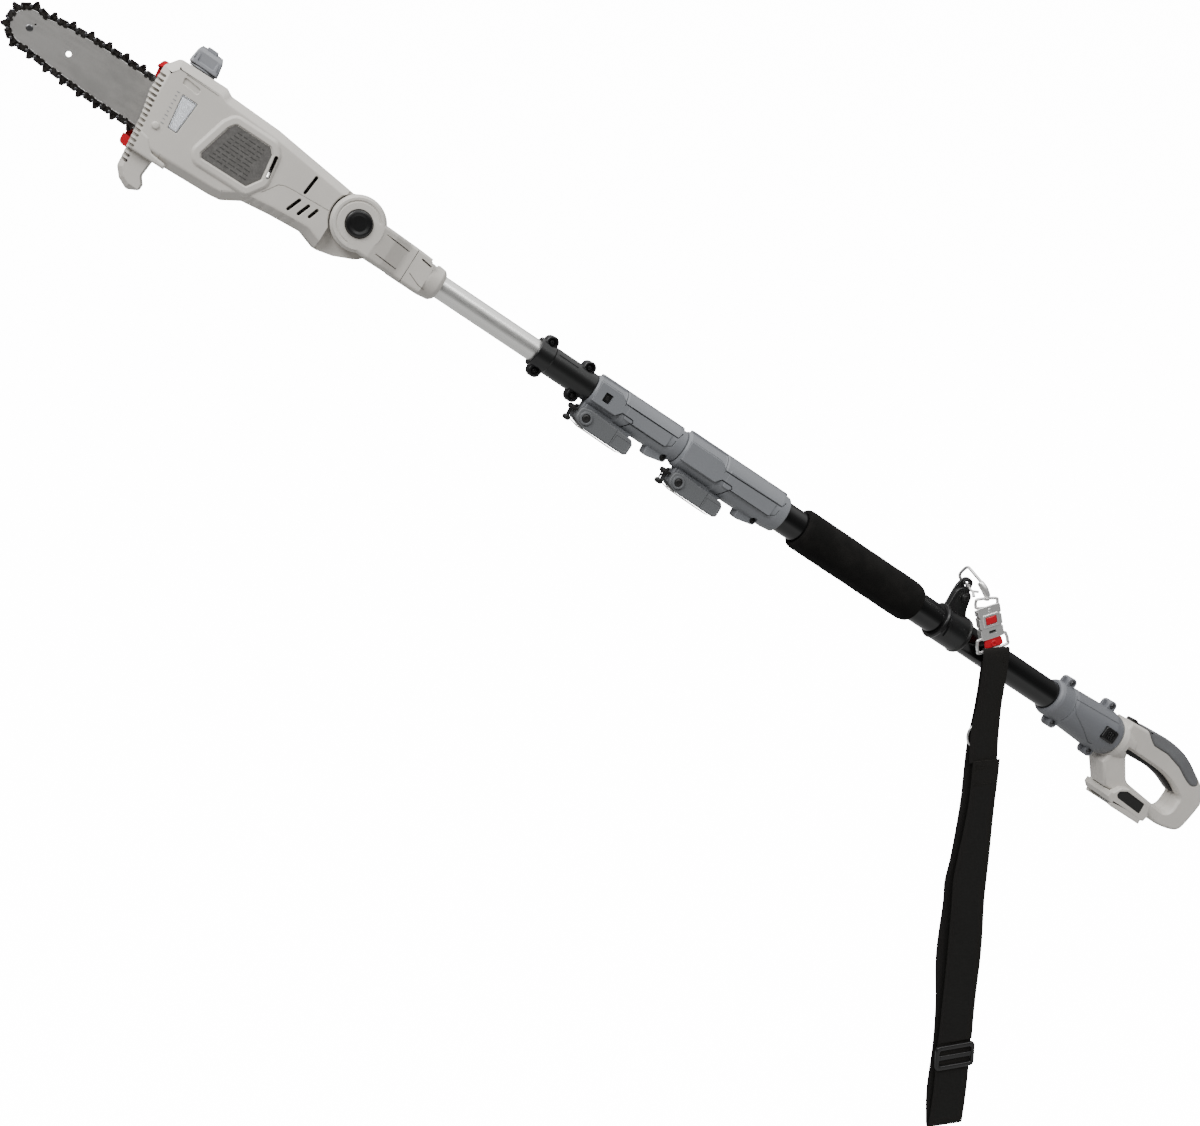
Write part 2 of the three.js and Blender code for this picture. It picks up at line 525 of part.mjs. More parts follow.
// A collar with an over-centre lever under it. The collar grips the thinner tube that slides in it.
function flipLock(pole, name, { front, rear, step, r, bolt, end, screw }, tubeR, innerR) {
  const [bx, bz] = bolt;
  const [kx, kz] = screw;
  const shell = turnedX([
    [0, front], [r - 3.4, front], [r - 1.6, front + 3], [r - 1.6, step - 6], [r, step],
    [r, rear - 12], [r - 1.4, rear], [0, rear]]);
  const waist = join(
    box(step + 4, rear - 20, -r + 1.2, r - 1.2, -r * 0.42, r * 0.42),
    box(front + 14, step - 4, -r + 0.9, r - 0.9, -r * 0.5, r * 0.5));
  const ear = plate(outline([
    [bx - 7, bz - 5], [bx + 6, bz - 6], [bx + 9, bz], [bx + 26, -r + 6], [bx - 8, -r + 6]]), -7.4, 7.4);
  const spine = box(front + 2, rear - 4, -3.4, 3.4, r - 4, r + 1.4);
  const boss = plate(outline([
    [kx - 23, -r + 4], [kx - 22, kz - 8], [kx - 17, kz - 9], [kx + 4, kz - 4.6], [kx + 5, -r + 4]]), -9, 9);
  const bore = join(rodX(innerR + GAP, front - 5, rear), rodX(tubeR + GAP, front + 7 - GAP, rear + 5));
  const slit = box(front - 1, front + 52, -0.9, 0.9, -r - 1, -innerR + 1);
  const body = cut(
    join(shell, waist, ear, spine, boss), bore, slit, rodY(2.3, -20, 20, bx, bz, 16),
    rodY(1.9, -30, 30, kx, kz, 12), rodY(4, -30, -9, kx, kz, 20));
  piece(pole, `${name}_collar`, body, M.lock);

  const cheeks = plate(outline([
    [bx - end, bz], [bx - end, bz + end * 0.6, bx - 4, bz + end * 0.86], [bx + 4, bz + 11],
    [bx + LEVER_LENGTH - 3, bz + 7.6], [bx + LEVER_LENGTH, bz + 4.6],
    [bx + LEVER_LENGTH, bz - 9],
    [bx + LEVER_LENGTH - 5, bz - 11], [bx + 6, bz - 11], [bx - end, bz - end, bx - end, bz]]), -16,
      16, 1.2, 6);
  const palm = plate(outline([
    [bx - 30, bz - 8], [bx + LEVER_LENGTH - 6, bz - 8], [bx + LEVER_LENGTH - 3, bz + 30],
    [bx - 30, bz + 30]]),
    -9.4, 9.4);
  const clearance = rodX(r + 1.2, bx - 40, bx + LEVER_LENGTH + 30, 0, 0, 32);
  const lever = cut(cheeks, palm, clearance, rodY(2.6, -20, 20, bx, bz, 16),
    box(bx - end - 1, bx + 5, -9.4, 9.4, bz - 20, bz + 20));
  piece(pole, `${name}_lever`, lever, M.lever);
  piece(pole, `${name}_lever_bolt`, join(
    rodY(2, -17, 17, bx, bz, 16), rodY(4.6, -19.4, -16 - GAP, bx, bz, 24),
    rodY(4.2, 16 + GAP, 19.4, bx, bz, 6)), M.steel);
  piece(pole, `${name}_boss_screw`, screwY(kx, kz, -11.4, 8), M.black);
}

function telescope(pole) {
  piece(pole, "head_tube", tube(HEAD_TUBE), M.alloy);
  piece(pole, "inner_tube", tube(INNER_TUBE), M.gloss);
  piece(pole, "middle_tube", tube(MIDDLE_TUBE), M.gloss);
  piece(pole, "outer_tube", tube(OUTER_TUBE), M.gloss);
  flipLock(pole, "lock_1", LOCK_1, MIDDLE_TUBE.r, INNER_TUBE.r);
  flipLock(pole, "lock_2", LOCK_2, OUTER_TUBE.r, MIDDLE_TUBE.r);
  piece(pole, "foam_grip", turnedX([
    [OUTER_TUBE.r + GAP, FOAM.from], [FOAM.r - 3, FOAM.from], [FOAM.r - 0.6, FOAM.from + 1.6],
    [FOAM.r, FOAM.from + 4], [FOAM.r, FOAM.to - 6], [FOAM.r - 2, FOAM.to - 2], [FOAM.r - 5, FOAM.to],
    [OUTER_TUBE.r + GAP, FOAM.to], [OUTER_TUBE.r + GAP, FOAM.from]]), M.foam);
}

// ---- strap clamp ----

const CLAMP = { from: 129, to: 171, r: 23 };
const EYE = [137.5, 56];
const CLAMP_BOLT = [143.5, 41];

function strapClamp(pole) {
  const { from, to, r } = CLAMP;
  const band = turnedX([
    [0, from], [r - 1.2, from], [r, from + 1.4], [r, to - 1.4], [r - 1.2, to], [0, to]]);
  const eyePlate = plate(outline([
    [129.5, 14], [127, 40], [126, 50, 128.5, 57], [131, 64, 138, 64], [146, 64, 146.5, 56],
    [150, 44, 154, 32], [156, 22, 166, 16]]), -0.6, 3.4, 0, 5);
  const boltPlate = plate(outline([
    [129.5, 14], [128, 40], [128.5, 50.5, 137, 50.5], [150, 50, 151, 43], [154, 32], [158, 22, 168, 15]]),
    -6.6, -1.6, 0, 5);
  const eye = rodY(4.2, -20, 20, ...EYE, 24);
  const clamp = cut(
    join(band, eyePlate, boltPlate), rodX(OUTER_TUBE.r + GAP, from - 2, to + 2), eye,
    rodY(2.4, -30, 30, ...CLAMP_BOLT, 16));
  const foot = box(from + 2, to - 2, -2, 2, OUTER_TUBE.r + 0.6, r + 1);
  piece(pole, "strap_clamp", join(clamp, foot), M.black);
  piece(pole, "clamp_screw", join(
    cut(rodY(5, -11, -6.6 - GAP, ...CLAMP_BOLT, 24), rodY(2.6, -12, -9, ...CLAMP_BOLT, 6)),
    rodY(2, -8, 7.4, ...CLAMP_BOLT, 16),
    rodY(4, 3.4 + GAP, 7, ...CLAMP_BOLT, 6)), M.steel);
}

// ---- handle ----

// The grey socket between pole and handle: two halves clamped by screw lugs.
function connectorHalf(side) {
  const body = turnedX([
    [0, 330], [23.4, 330], [24.6, 333], [24.6, 348], [25.8, 354], [29, 412], [30, 436], [28.6, 446],
    [0, 446]]);
  const lugs = [[331, 353, 24.6], [400, 424, 28.4]].flatMap(([x0, x1, r]) => [
    box(x0, x1, -9, 9, 14, r + 8.5), box(x0 + 7, x1 + 8, -9, 9, -r - 7, -14)]);
  const half = side < 0 ? box(300, 470, -60, -0.15, -60, 60) : box(300, 470, 0.15, 60, -60, 60);
  const bore = join(rodX(OUTER_TUBE.r + GAP, 320, 402 + GAP), rodX(15, 400, 460));
  const holes = connectorScrews().flatMap(([x, z]) => [rodY(1.9, -60, 60, x, z, 12),
    rodY(3.7, -60, -7, x, z, 12)]);
  const window = slab(outline([[408, -60], [427, -60], [427, -10], [408, -10]]), -8.5, 8.5);
  const whole = cut(join(body, ...lugs), bore, ...holes);
  return (side < 0 ? cut(whole, window) : whole).intersect(half);
}

const connectorScrews = () => [[342, 28.6], [412, 32.4], [351, -27], [423, -31]];

function connector(pole) {
  piece(pole, "connector_near", connectorHalf(-1), M.lock);
  piece(pole, "connector_far", connectorHalf(1), M.lock);
  piece(pole, "release_button", cut(
    box(408.4, 426.6, -31.5, -18, -8.1, 8.1), box(413, 422, -33, -30.4, -5, 5)), M.black);
}

const HANDLE_OUTER = [
  [447, 31], [487, 33.5], [500, 36.5, 516, 36], [545, 35, 569, 26], [590, 17, 602, 10.6],
  [614, 3, 615, -10],
  [615, -24, 611, -45], [609, -54, 601, -56.5], [588, -61, 571, -62], [545, -62], [545, -57],
  [467, -57], [441, -34], [447, -32],
];
const HAND_HOLE = [
  [459, -1.5], [465, -3.5, 469, -9], [480, -22, 490, -33], [495, -38, 506, -38.5], [566, -44],
  [579, -44, 580, -32],
  [580, -20], [579, -15, 572, -14], [553, -3.4, 527, -1.6], [498, -0.6, 459, -1.5],
];

function handleHalf(side) {
  const y = side < 0 ? [-17.5, -0.15] : [0.15, 17.5];
  const outer = plate(outline(HANDLE_OUTER), -17.5, 17.5, 0, 5);
  const throat = turnedX([[0, 446 + GAP], [27, 446 + GAP], [25, 462], [17, 474], [0, 474]]);
  const half = box(400, 640, ...y, -90, 70);
  const hole = plate(outline(HAND_HOLE), -30, 30, 0, 5);
  const column = outline([
    [450, 12], [457, 8], [458, -6], [464, -12], [485, -36], [489, -51], [473, -51], [450, -32]]);
  const room = join(
    plate(column, -14.4, 14.4), plate(outline([
      [478, 12], [560, 12], [574, 8], [574, 0], [556, 6], [520, 8], [478, 6]]), -12, 12),
    plate(outline([[466, -9], [466, 14], [545, 14], [572, 4], [580, -6], [580, -24], [520, -14]]),
      -7.2, 7.2));
  const gripRoom = cut(plate(outline(GRIP), -60, 60), box(400, 640, -14.6, 14.6, -90, 34));
  const socket = rodX(15.2, 440, 455);
  return cut(join(outer, throat).intersect(half), hole, room, socket, gripRoom,
    box(451, 467, -6.6, 6.6, 20, 60));
}

const GRIP = [
  [474, 40], [474, 33], [484, 25, 495, 20.4], [521, 21], [549, 15.4], [568, 7, 576, 5], [586, 2, 591, 9],
  [590, 14, 583, 18], [566, 30, 546, 40],
];

function softGrip() {
  const shape = outline([
    [475, 34], [485, 25.6, 496, 21.2], [521, 21.8], [549, 16.2], [568, 7.8, 576, 5.8], [585, 3, 590, 9],
    [589.4, 13.6, 583, 17.4], [567, 28, 545, 34], [520, 39.6, 492, 37], [484, 36.4, 475, 34]]);
  const saddle = plate(shape, -18.6, 18.6, 0, 5);
  const inside = join(
    box(440, 640, -14.3, 14.3, -90, 33.6), plate(outline(HANDLE_OUTER.map(lift)), -14.6, 14.6, 0, 5));
  return cut(saddle, inside);
}

// A point of the handle's outline moved just clear of it.
const lift = (p) => p.map((value, i) => (i % 2 ? value + GAP : value));

function handle(pole) {
  piece(pole, "handle_near", handleHalf(-1), M.shell);
  piece(pole, "handle_far", handleHalf(1), M.shell);
  piece(pole, "soft_grip", softGrip(), M.grip);
  const blade = outline([
    [468, -1], [474, -8], [494, -6.4, 515, -5.6], [540, -6, 560, -14], [571, -18, 574, -13],
    [560, -6, 545, -1], [520, 2.4], [471, 1.6]]);
  piece(pole, "trigger", plate(blade, -6.6, 6.6), M.black);
  piece(pole, "lock_off_button", join(
    box(452, 466, -6, 6, 22, 33.4), plate(outline([[452, 33], [466, 33], [465, 35.6], [459, 36.4],
      [453, 35.6]]), -6, 6)), M.black);
  piece(pole, "switch_body", box(482, 516, -6.8, 6.8, 8.6, 11.6), M.black);

  const deck = plate(outline([[472, -65], [472, -57.4], [544, -57.4], [541, -68], [534, -70],
    [479, -70]]), -27, 27);
  const wing = outline([[473, -60], [484, -47], [494, -42.5], [528, -45.5], [537, -47], [542.6, -60]]);
  const sides = [-1, 1].flatMap((side) => {
    const span = (a, b) => (side < 0 ? [-b, -a] : [a, b]);
    return [plate(wing, ...span(17.8, 27)), box(482, 537, ...span(21, 27), -74, -68)];
  });
  const channel = [-1, 1].map((side) => box(486, 560, ...(side < 0 ? [-24.4, -19] : [19, 24.4]),
    -71.8, -69.8));
  piece(pole, "battery_dock",
    cut(join(deck, ...sides), box(480, 560, -20.8, 20.8, -80, -66.5), ...channel), M.shell);
  const blades = [-8, -2.7, 2.7, 8].map((y) => box(492, 522, y - 0.5, y + 0.5, -73.4, -69.4));
  piece(pole, "terminal_block", join(box(488, 526, -12, 12, -69.8, -66.5 - GAP), ...blades), M.black);
}

// ---- shoulder strap, in the part's own frame ----

// The eye's place after the pole is turned.
const eyeX = EYE[0] * Math.cos(CARRY_SLOPE) + EYE[1] * Math.sin(CARRY_SLOPE);
const eyeZ = -EYE[0] * Math.sin(CARRY_SLOPE) + EYE[1] * Math.cos(CARRY_SLOPE);

const HANG_X = eyeX + 11; // the middle of the swivel, beside the clamp's eye
const HANG_Y = -30;
const RING = { z: eyeZ - 11, half: 14.2, drop: 11, r: 1.8 };
const BUCKLE_LEAN = THREE.MathUtils.degToRad(-10);
const BUCKLE = { top: 1, bottom: -41, half: 18.5, foot: -57 }; // heights from the point it leans about

function hook(strap) {
  const at = ([dx, y, dz]) => [eyeX + dx, y, eyeZ + dz];
  const arm = wire([
    [-1, -8.4, -0.3], [-0.6, -2, 0], [-0.6, 5, 0.2], [-1.4, 9.4, 3.6], [-2, 9.6, 9.2], [-1, 5, 13.9],
    [1.4, -4, 15.6],
    [4.6, -12, 13.4], [8, -20, 9], [10.4, -27, 4.6], [11, -30, 0.6]].map(at), 1.9, 8, 26);
  const barrel = cut(
    rodZ(4.4, eyeZ - 7.6, eyeZ + 1.4, HANG_X, HANG_Y, 16),
    rodZ(2.3, eyeZ - 20, eyeZ - 1.4, HANG_X, HANG_Y, 12));
  piece(strap, "snap_hook", join(arm, barrel), M.steel);
  piece(strap, "hook_gate", wire([
    [-0.2, -11.2, -1.6], [3.4, -17, -0.6], [7, -23.4, 1]].map(at), 1.3, 8, 5), M.steel);
}

// A closed rectangular ring of wire in the X-Z plane, its corners rounded.
function wireFrame(x, y, top, half, drop, r) {
  const outer = plate(rounded(x - half - r, x + half + r, top - drop - r, top + r, 4), y - r, y + r);
  return cut(outer, plate(rounded(x - half + r, x + half - r, top - drop + r, top - r, 2), y - r - 1,
    y + r + 1));
}

function rounded(x0, x1, z0, z1, r) {
  return outline([
    [x0 + r, z0], [x1 - r, z0], [x1, z0, x1, z0 + r], [x1, z1 - r], [x1, z1, x1 - r, z1], [x0 + r, z1],
    [x0, z1, x0, z1 - r], [x0, z0 + r], [x0, z0, x0 + r, z0]]);
}

function hardware(strap) {
  const [x, y] = [HANG_X, HANG_Y];
  piece(strap, "swivel_ring", join(
    wireFrame(x, y, RING.z, RING.half, RING.drop, RING.r), rodZ(2, RING.z - 1, eyeZ - 2, x, y, 12)),
      M.steel);

  const leaning = new THREE.Group();
  leaning.position.set(x, 0, RING.z - RING.drop + 3);
  leaning.rotation.y = BUCKLE_LEAN;
  strap.add(leaning);
  const { top, bottom, half, foot } = BUCKLE;
  const face = cut(
    plate(rounded(-half, half, bottom, top, 3), y - 6.4, y - 4.4),
    plate(rounded(-6.8, 6.8, -22, -12.6, 1), y - 9, y),
    plate(rounded(-11, 11, -33, -29, 1), y - 9, y));
  const edge = (side, x0, x1, ...rest) =>
    (side < 0 ? box(-x1, -x0, ...rest) : box(x0, x1, ...rest));
  const flanks = [-1, 1].flatMap((side) => [
    edge(side, half - 1.8, half, y - 5, y + 4, bottom + 1, top - 5),
    edge(side, half - 0.4, half + 3, y - 3, y + 2, foot + 2, bottom + 8)]);
  const back = plate(rounded(-half, half, bottom + 10, top - 5, 3), y + 2.6, y + 4);
  const bar = box(-half - 3, half + 3, y - 3, y + 2, foot, foot + 5);
  const room = box(-RING.half - RING.r - GAP, RING.half + RING.r + GAP, y - RING.r - GAP,
    y + RING.r + GAP, -5, 9);
  piece(leaning, "strap_buckle", cut(join(face, ...flanks, back, bar), room), M.steel);
  piece(leaning, "buckle_release", join(
    box(-6.2, 6.2, y - 7.6, y - 3.4, -21.4, -13.2), box(-9, 9, y - 4.1, y + 1, bottom - 7, -12)), M.red);
}

// Both layers of the webbing and the slack between them, as one plain solid.
function webbing(strap) {
  const y = STRAP_Y;
  const shape = outline([
    [147, -113], [185, -113], [184, -140], [182, -172], [181, -222], [184, -272], [184, -306],
    [181, -372], [177, -440],
    [174, -510], [172, -580], [170, -640], [167, -700], [162, -757], [121, -754], [124, -696],
    [124, -637],
    [122, -578], [119, -506], [126, -437], [138, -370], [145, -303], [145, -270], [144, -222],
    [146, -172]]);
  const sliderRoom = plate(rounded(118, 178, -686, -636, 4), y - 8, y + 8);
  const threaded = box(125.4, 168.6, y - 3.6, y + 0.6, -690, -632);
  piece(strap, "strap_webbing", join(cut(plate(shape, y - 4, y + 2), sliderRoom), threaded), M.webbing);
  const slider = plate(rounded(119, 175, -684, -638, 4), y - 7.4, y + 4.4);
  const slots = [-654, -668].map((z) => box(125.6, 168.4, y - 9, y + 9, z - 4.5, z + 4.5));
  const core = box(125.1, 168.9, y - 4, y + 1, -700, -620);
  piece(strap, "strap_slider", cut(slider, ...slots, core), M.black);
  piece(strap, "webbing_ring", plate(ringShape(146, -210, 13, 10), y - 8.4, y - 4.3), M.steel);
}

function ringShape(x, z, outer, inner) {
  const shape = new THREE.Shape().absarc(x, z, outer, 0, 2 * Math.PI);
  shape.holes.push(new THREE.Path().absarc(x, z, inner, 0, 2 * Math.PI));
  return shape;
}

export default (() => {
  const saw = new THREE.Group();
  const pole = new THREE.Group();
  pole.rotation.y = CARRY_SLOPE;
  const head = new THREE.Group();
  pole.add(head);
  const strap = new THREE.Group();
  saw.add(pole, strap);

  nearHousing(head);
  farHousing(head);
  sprocketCover(head);
  bar(head);
  chain(head);
  drive(head);
  oilSystem(head);
  neck(pole);
  coupling(pole);
  telescope(pole);
  strapClamp(pole);
  connector(pole);
  handle(pole);
  hook(strap);
  hardware(strap);
  webbing(strap);
  return saw;
})();
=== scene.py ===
"""Looks of the telescoping pole saw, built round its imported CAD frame.

Pieces on the pole are drawn in millimetres in the pole's own frame (x along the pole towards the
handle, z away from the lock levers), and POLE turns them to the carrying slope. The strap hangs
plumb, so its pieces are drawn in the part's frame.
"""
import json
import math
import random

import bmesh
import bpy
from mathutils import Matrix, Vector
from mathutils.geometry import tessellate_polygon

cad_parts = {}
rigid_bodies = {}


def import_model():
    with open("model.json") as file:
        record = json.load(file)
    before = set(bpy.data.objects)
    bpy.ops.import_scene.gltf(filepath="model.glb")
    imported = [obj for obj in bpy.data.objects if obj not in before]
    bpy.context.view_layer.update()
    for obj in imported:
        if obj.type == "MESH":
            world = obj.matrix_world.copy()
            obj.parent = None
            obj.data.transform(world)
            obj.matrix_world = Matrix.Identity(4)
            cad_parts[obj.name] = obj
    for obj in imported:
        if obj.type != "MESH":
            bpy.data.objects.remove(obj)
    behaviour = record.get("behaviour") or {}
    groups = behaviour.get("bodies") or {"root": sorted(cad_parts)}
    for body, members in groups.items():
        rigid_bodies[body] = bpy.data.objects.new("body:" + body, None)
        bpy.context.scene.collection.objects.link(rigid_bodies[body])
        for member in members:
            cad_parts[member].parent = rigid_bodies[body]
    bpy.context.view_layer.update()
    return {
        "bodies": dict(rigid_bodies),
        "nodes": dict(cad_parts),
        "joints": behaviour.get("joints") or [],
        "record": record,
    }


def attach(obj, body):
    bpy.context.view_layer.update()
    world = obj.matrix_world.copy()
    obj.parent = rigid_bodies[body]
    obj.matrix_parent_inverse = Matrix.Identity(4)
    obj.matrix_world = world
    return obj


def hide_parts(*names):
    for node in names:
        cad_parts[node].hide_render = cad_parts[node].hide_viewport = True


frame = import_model()

SLOPE = math.radians(34.54)
HERE = Matrix.Scale(0.001, 4)
POLE = Matrix.Rotation(SLOPE, 4, "Y") @ HERE
PARTING = -0.15  # face where a near half meets its far one

# Places along the pole, shared with the CAD model.
PIVOT = (-691, 6)
BAR_Y = 14
NOSE = (-1030, -12)
NOSE_R = 16.6
BAR_HALF = 22.3
BAR_TAIL = -878
SPROCKET = (-858, -11)
BAR_NUT = (-890, -11)
CAP_AT = (-884.5, -6)
EYE = (137.5, 56)
EYE_X = EYE[0] * math.cos(SLOPE) + EYE[1] * math.sin(SLOPE)
EYE_Z = -EYE[0] * math.sin(SLOPE) + EYE[1] * math.cos(SLOPE)
HANG_X = EYE_X + 11
HANG_Y = -30
CLAMP_BOLT = (143.5, 41)


# ---- outlines ----

def trace(points, steps=7):
    """A closed outline. (x, z) is a corner, (x, z, r) a corner rounded by r, and four numbers are
    a curve's control point and its end."""
    nodes = []
    for p in points:
        if len(p) == 4:
            start, control, end = nodes[-1][0], Vector(p[:2]), Vector(p[2:])
            for i in range(1, steps + 1):
                t = i / steps
                nodes.append((start.lerp(control, t).lerp(control.lerp(end, t), t), 0))
        else:
            nodes.append((Vector(p[:2]), p[2] if len(p) == 3 else 0))
    if (nodes[0][0] - nodes[-1][0]).length < 1e-3:
        nodes.pop()
    line = []
    for i, (at, r) in enumerate(nodes):
        if not r:
            line.append(at)
            continue
        back = nodes[i - 1][0] - at
        on = nodes[(i + 1) % len(nodes)][0] - at
        half = back.angle(on) / 2
        reach = min(r / math.tan(half), 0.48 * back.length, 0.48 * on.length)
        a, b = at + back.normalized() * reach, at + on.normalized() * reach
        line += [a.lerp(at, i / steps).lerp(at.lerp(b, i / steps), i / steps) for i in range(steps + 1)]
    return line


def arc(cx, cz, r, start, end, count=24):
    """Points of a circle's arc, its angles in degrees."""
    turns = [math.radians(start + (end - start) * i / count) for i in range(count + 1)]
    return [(cx + r * math.cos(a), cz + r * math.sin(a)) for a in turns]


def capsule(a, b, r, count=10):
    """The outline of a slot with round ends between two points."""
    turn = math.degrees(math.atan2(b[1] - a[1], b[0] - a[0]))
    return trace(arc(*b, r, turn - 90, turn + 90, count) + arc(*a, r, turn + 90, turn + 270, count))


def rectangle(x0, x1, z0, z1, r=0.0):
    return trace([(x0, z0, r), (x1, z0, r), (x1, z1, r), (x0, z1, r)] if r else
                 [(x0, z0), (x1, z0), (x1, z1), (x0, z1)])


def area(line):
    return sum(a.cross(b) for a, b in zip(line, line[1:] + line[:1])) / 2


def inset(line, distance, share=None):
    """A counterclockwise outline moved inwards, its corners mitred; share(point) scales the move."""
    moved = []
    for i, p in enumerate(line):
        a = (p - line[i - 1]).normalized()
        b = (line[(i + 1) % len(line)] - p).normalized()
        middle = Vector((-a.y - b.y, a.x + b.x)).normalized()
        reach = distance / max(0.5, middle.dot(Vector((-a.y, a.x))))
        moved.append(p + middle * reach * (share(p) if share else 1))
    return moved


def ribbon(points, width):
    """The outline of a line of that width through the points."""
    points = [Vector(p) for p in points]
    sides = []
    for i, p in enumerate(points):
        ahead = points[min(i + 1, len(points) - 1)] - p
        behind = p - points[max(i - 1, 0)]
        along = (ahead.normalized() + behind.normalized()).normalized()
        sides.append(Vector((-along.y, along.x)) * width / 2)
    return [p + s for p, s in zip(points, sides)] + [p - s for p, s in zip(points, sides)][::-1]


# ---- meshes ----

def drafted(bm):
    """An object in the scene from a mesh being edited."""
    mesh = bpy.data.meshes.new("draft")
    bm.to_mesh(mesh)
    bm.free()
    obj = bpy.data.objects.new("draft", mesh)
    bpy.context.scene.collection.objects.link(obj)
    return obj


def made(bm):
    """The same, with its faces turned outwards."""
    bmesh.ops.remove_doubles(bm, verts=bm.verts, dist=1e-5)
    bmesh.ops.recalc_face_normals(bm, faces=bm.faces)
    return drafted(bm)


PLANES = {
    "XZ": lambda u, v, h: (u, h, v),
    "XY": lambda u, v, h: (u, v, h),
    "YZ": lambda u, v, h: (h, u, v),
}


def slab(lines, levels, plane="XZ", share=None):
    """A closed plate. lines is the points of one outline, or a list of traced ones, the first its
    edge and the rest holes. levels lists heights, or pairs of a height and how far the edge is
    drawn in there."""
    if isinstance(lines[0], tuple):
        lines = [trace(lines)]
    elif not isinstance(lines[0], list):
        lines = [lines]
    place = PLANES[plane]
    loops = [line[::-1] if area(line) < 0 else line for line in lines]
    bm = bmesh.new()
    rings = []
    for level in levels:
        height, draw = level if isinstance(level, tuple) else (level, 0)
        rings.append([])
        for i, loop in enumerate(loops):
            shifted = inset(loop, draw if i == 0 else -draw, share) if draw else loop
            rings[-1].append([bm.verts.new(place(p.x, p.y, height)) for p in shifted])
    for low, high in zip(rings, rings[1:]):
        for a, b in zip(low, high):
            for k in range(len(a)):
                n = (k + 1) % len(a)
                bm.faces.new((a[k], a[n], b[n], b[k]))
    for ring in (rings[0], rings[-1]):
        verts = [v for loop in ring for v in loop]
        for face in tessellate_polygon([[v.co for v in loop] for loop in ring]):
            bm.faces.new([verts[i] for i in face])
    return made(bm)


def hexagon(x, z, r, levels):
    return slab(arc(x, z, r, 0, 300, 5), levels)


def rounded(y0, y1, r0, r1=None, steps=5):
    """Levels between y0 and y1 whose two edges are rounded by r0 and r1."""
    r1 = r0 if r1 is None else r1
    if y0 > y1:
        y0, y1, r0, r1 = y1, y0, r1, r0
    turns = [math.pi / 2 * i / steps for i in range(steps + 1)]
    low = [(y0 + r0 * (1 - math.cos(a)), r0 * (1 - math.sin(a))) for a in turns] if r0 else [y0]
    high = [(y1 - r1 * (1 - math.cos(a)), r1 * (1 - math.sin(a))) for a in turns[::-1]] if r1 else [y1]
    return low + high


def block(x0, x1, y0, y1, z0, z1, r=0.0, corner=0.0):
    """A box with its corners seen along Y rounded by corner, and the edges of its faces by r."""
    return slab(rectangle(x0, x1, z0, z1, corner), rounded(y0, y1, r))


AXES = {
    "X": lambda r, along, a: (along, r * math.cos(a), r * math.sin(a)),
    "Y": lambda r, along, a: (r * math.cos(a), along, r * math.sin(a)),
    "Z": lambda r, along, a: (r * math.cos(a), r * math.sin(a), along),
}


def lathe(profile, axis="X", at=(0, 0, 0), count=72):
    """A turned piece from an outline of (radius, place along the axis)."""
    line, place = trace(profile, 5), AXES[axis]
    bm = bmesh.new()
    rings = []
    for p in line:
        turns = [0] if p.x < 1e-6 else [2 * math.pi * k / count for k in range(count)]
        rings.append([bm.verts.new(Vector(place(p.x, p.y, a)) + Vector(at)) for a in turns])
    for a, b in zip(rings, rings[1:] + rings[:1]):
        for k in range(count):
            n = (k + 1) % count
            quad = [a[k % len(a)], a[n % len(a)], b[n % len(b)], b[k % len(b)]]
            corners = [v for i, v in enumerate(quad) if v not in quad[:i]]
            if len(corners) > 2:
                bm.faces.new(corners)
    return made(bm)


def spun(profile, place, count=72):
    """A piece turned about a line along Y, from pairs of a radius and a depth."""
    return lathe(profile, "Y", (place[0], 0, place[1]), count)


def rod(axis, r, start, end, at=(0, 0, 0), edge=0.0, count=48):
    return lathe([(0, start), (r, start, edge), (r, end, edge), (0, end)], axis, at, count)


def pin(r, y0, y1, x, z, count=48):
    """A rod along Y at a place of the side view."""
    return rod("Y", r, y0, y1, (x, 0, z), count=count)


def smooth(points, steps, closed=False):
    """A Catmull-Rom line through points."""
    points = [Vector(p) for p in points]
    n = len(points)
    line = []
    for i in range(n if closed else n - 1):
        if closed:
            a, b, c, d = (points[(i + k) % n] for k in (-1, 0, 1, 2))
        else:
            a, b, c, d = (points[min(max(i + k, 0), n - 1)] for k in (-1, 0, 1, 2))
        for k in range(steps):
            t = k / steps
            line.append(0.5 * (2 * b + (c - a) * t + (2 * a - 5 * b + 4 * c - d) * t ** 2
                               + (3 * b - a - 3 * c + d) * t ** 3))
    return line if closed else line + [points[-1]]


def sweep(points, r, closed=False, count=14):
    """A round wire through points; r is a radius, or a function of the share of the way along."""
    line = smooth(points, 6, closed)
    n = len(line)
    ahead = [(line[(i + 1) % n if closed else min(i + 1, n - 1)] - line[i - 1 if closed or i
                                                                        else 0]).normalized()
             for i in range(n)]
    side = ahead[0].orthogonal().normalized()
    bm = bmesh.new()
    rings = []
    for i, p in enumerate(line):
        side = (side - ahead[i] * side.dot(ahead[i])).normalized()
        up = ahead[i].cross(side)
        size = r(i / (n - 1)) if callable(r) else r
        turns = [2 * math.pi * k / count for k in range(count)]
        rings.append([bm.verts.new(p + (side * math.cos(a) + up * math.sin(a)) * size) for a in turns])
    pairs = zip(rings, rings[1:] + rings[:1]) if closed else zip(rings, rings[1:])
    for a, b in pairs:
        for k in range(count):
            m = (k + 1) % count
            bm.faces.new((a[k], a[m], b[m], b[k]))
    if not closed:
        bm.faces.new(rings[0])
        bm.faces.new(rings[-1])
    return made(bm)


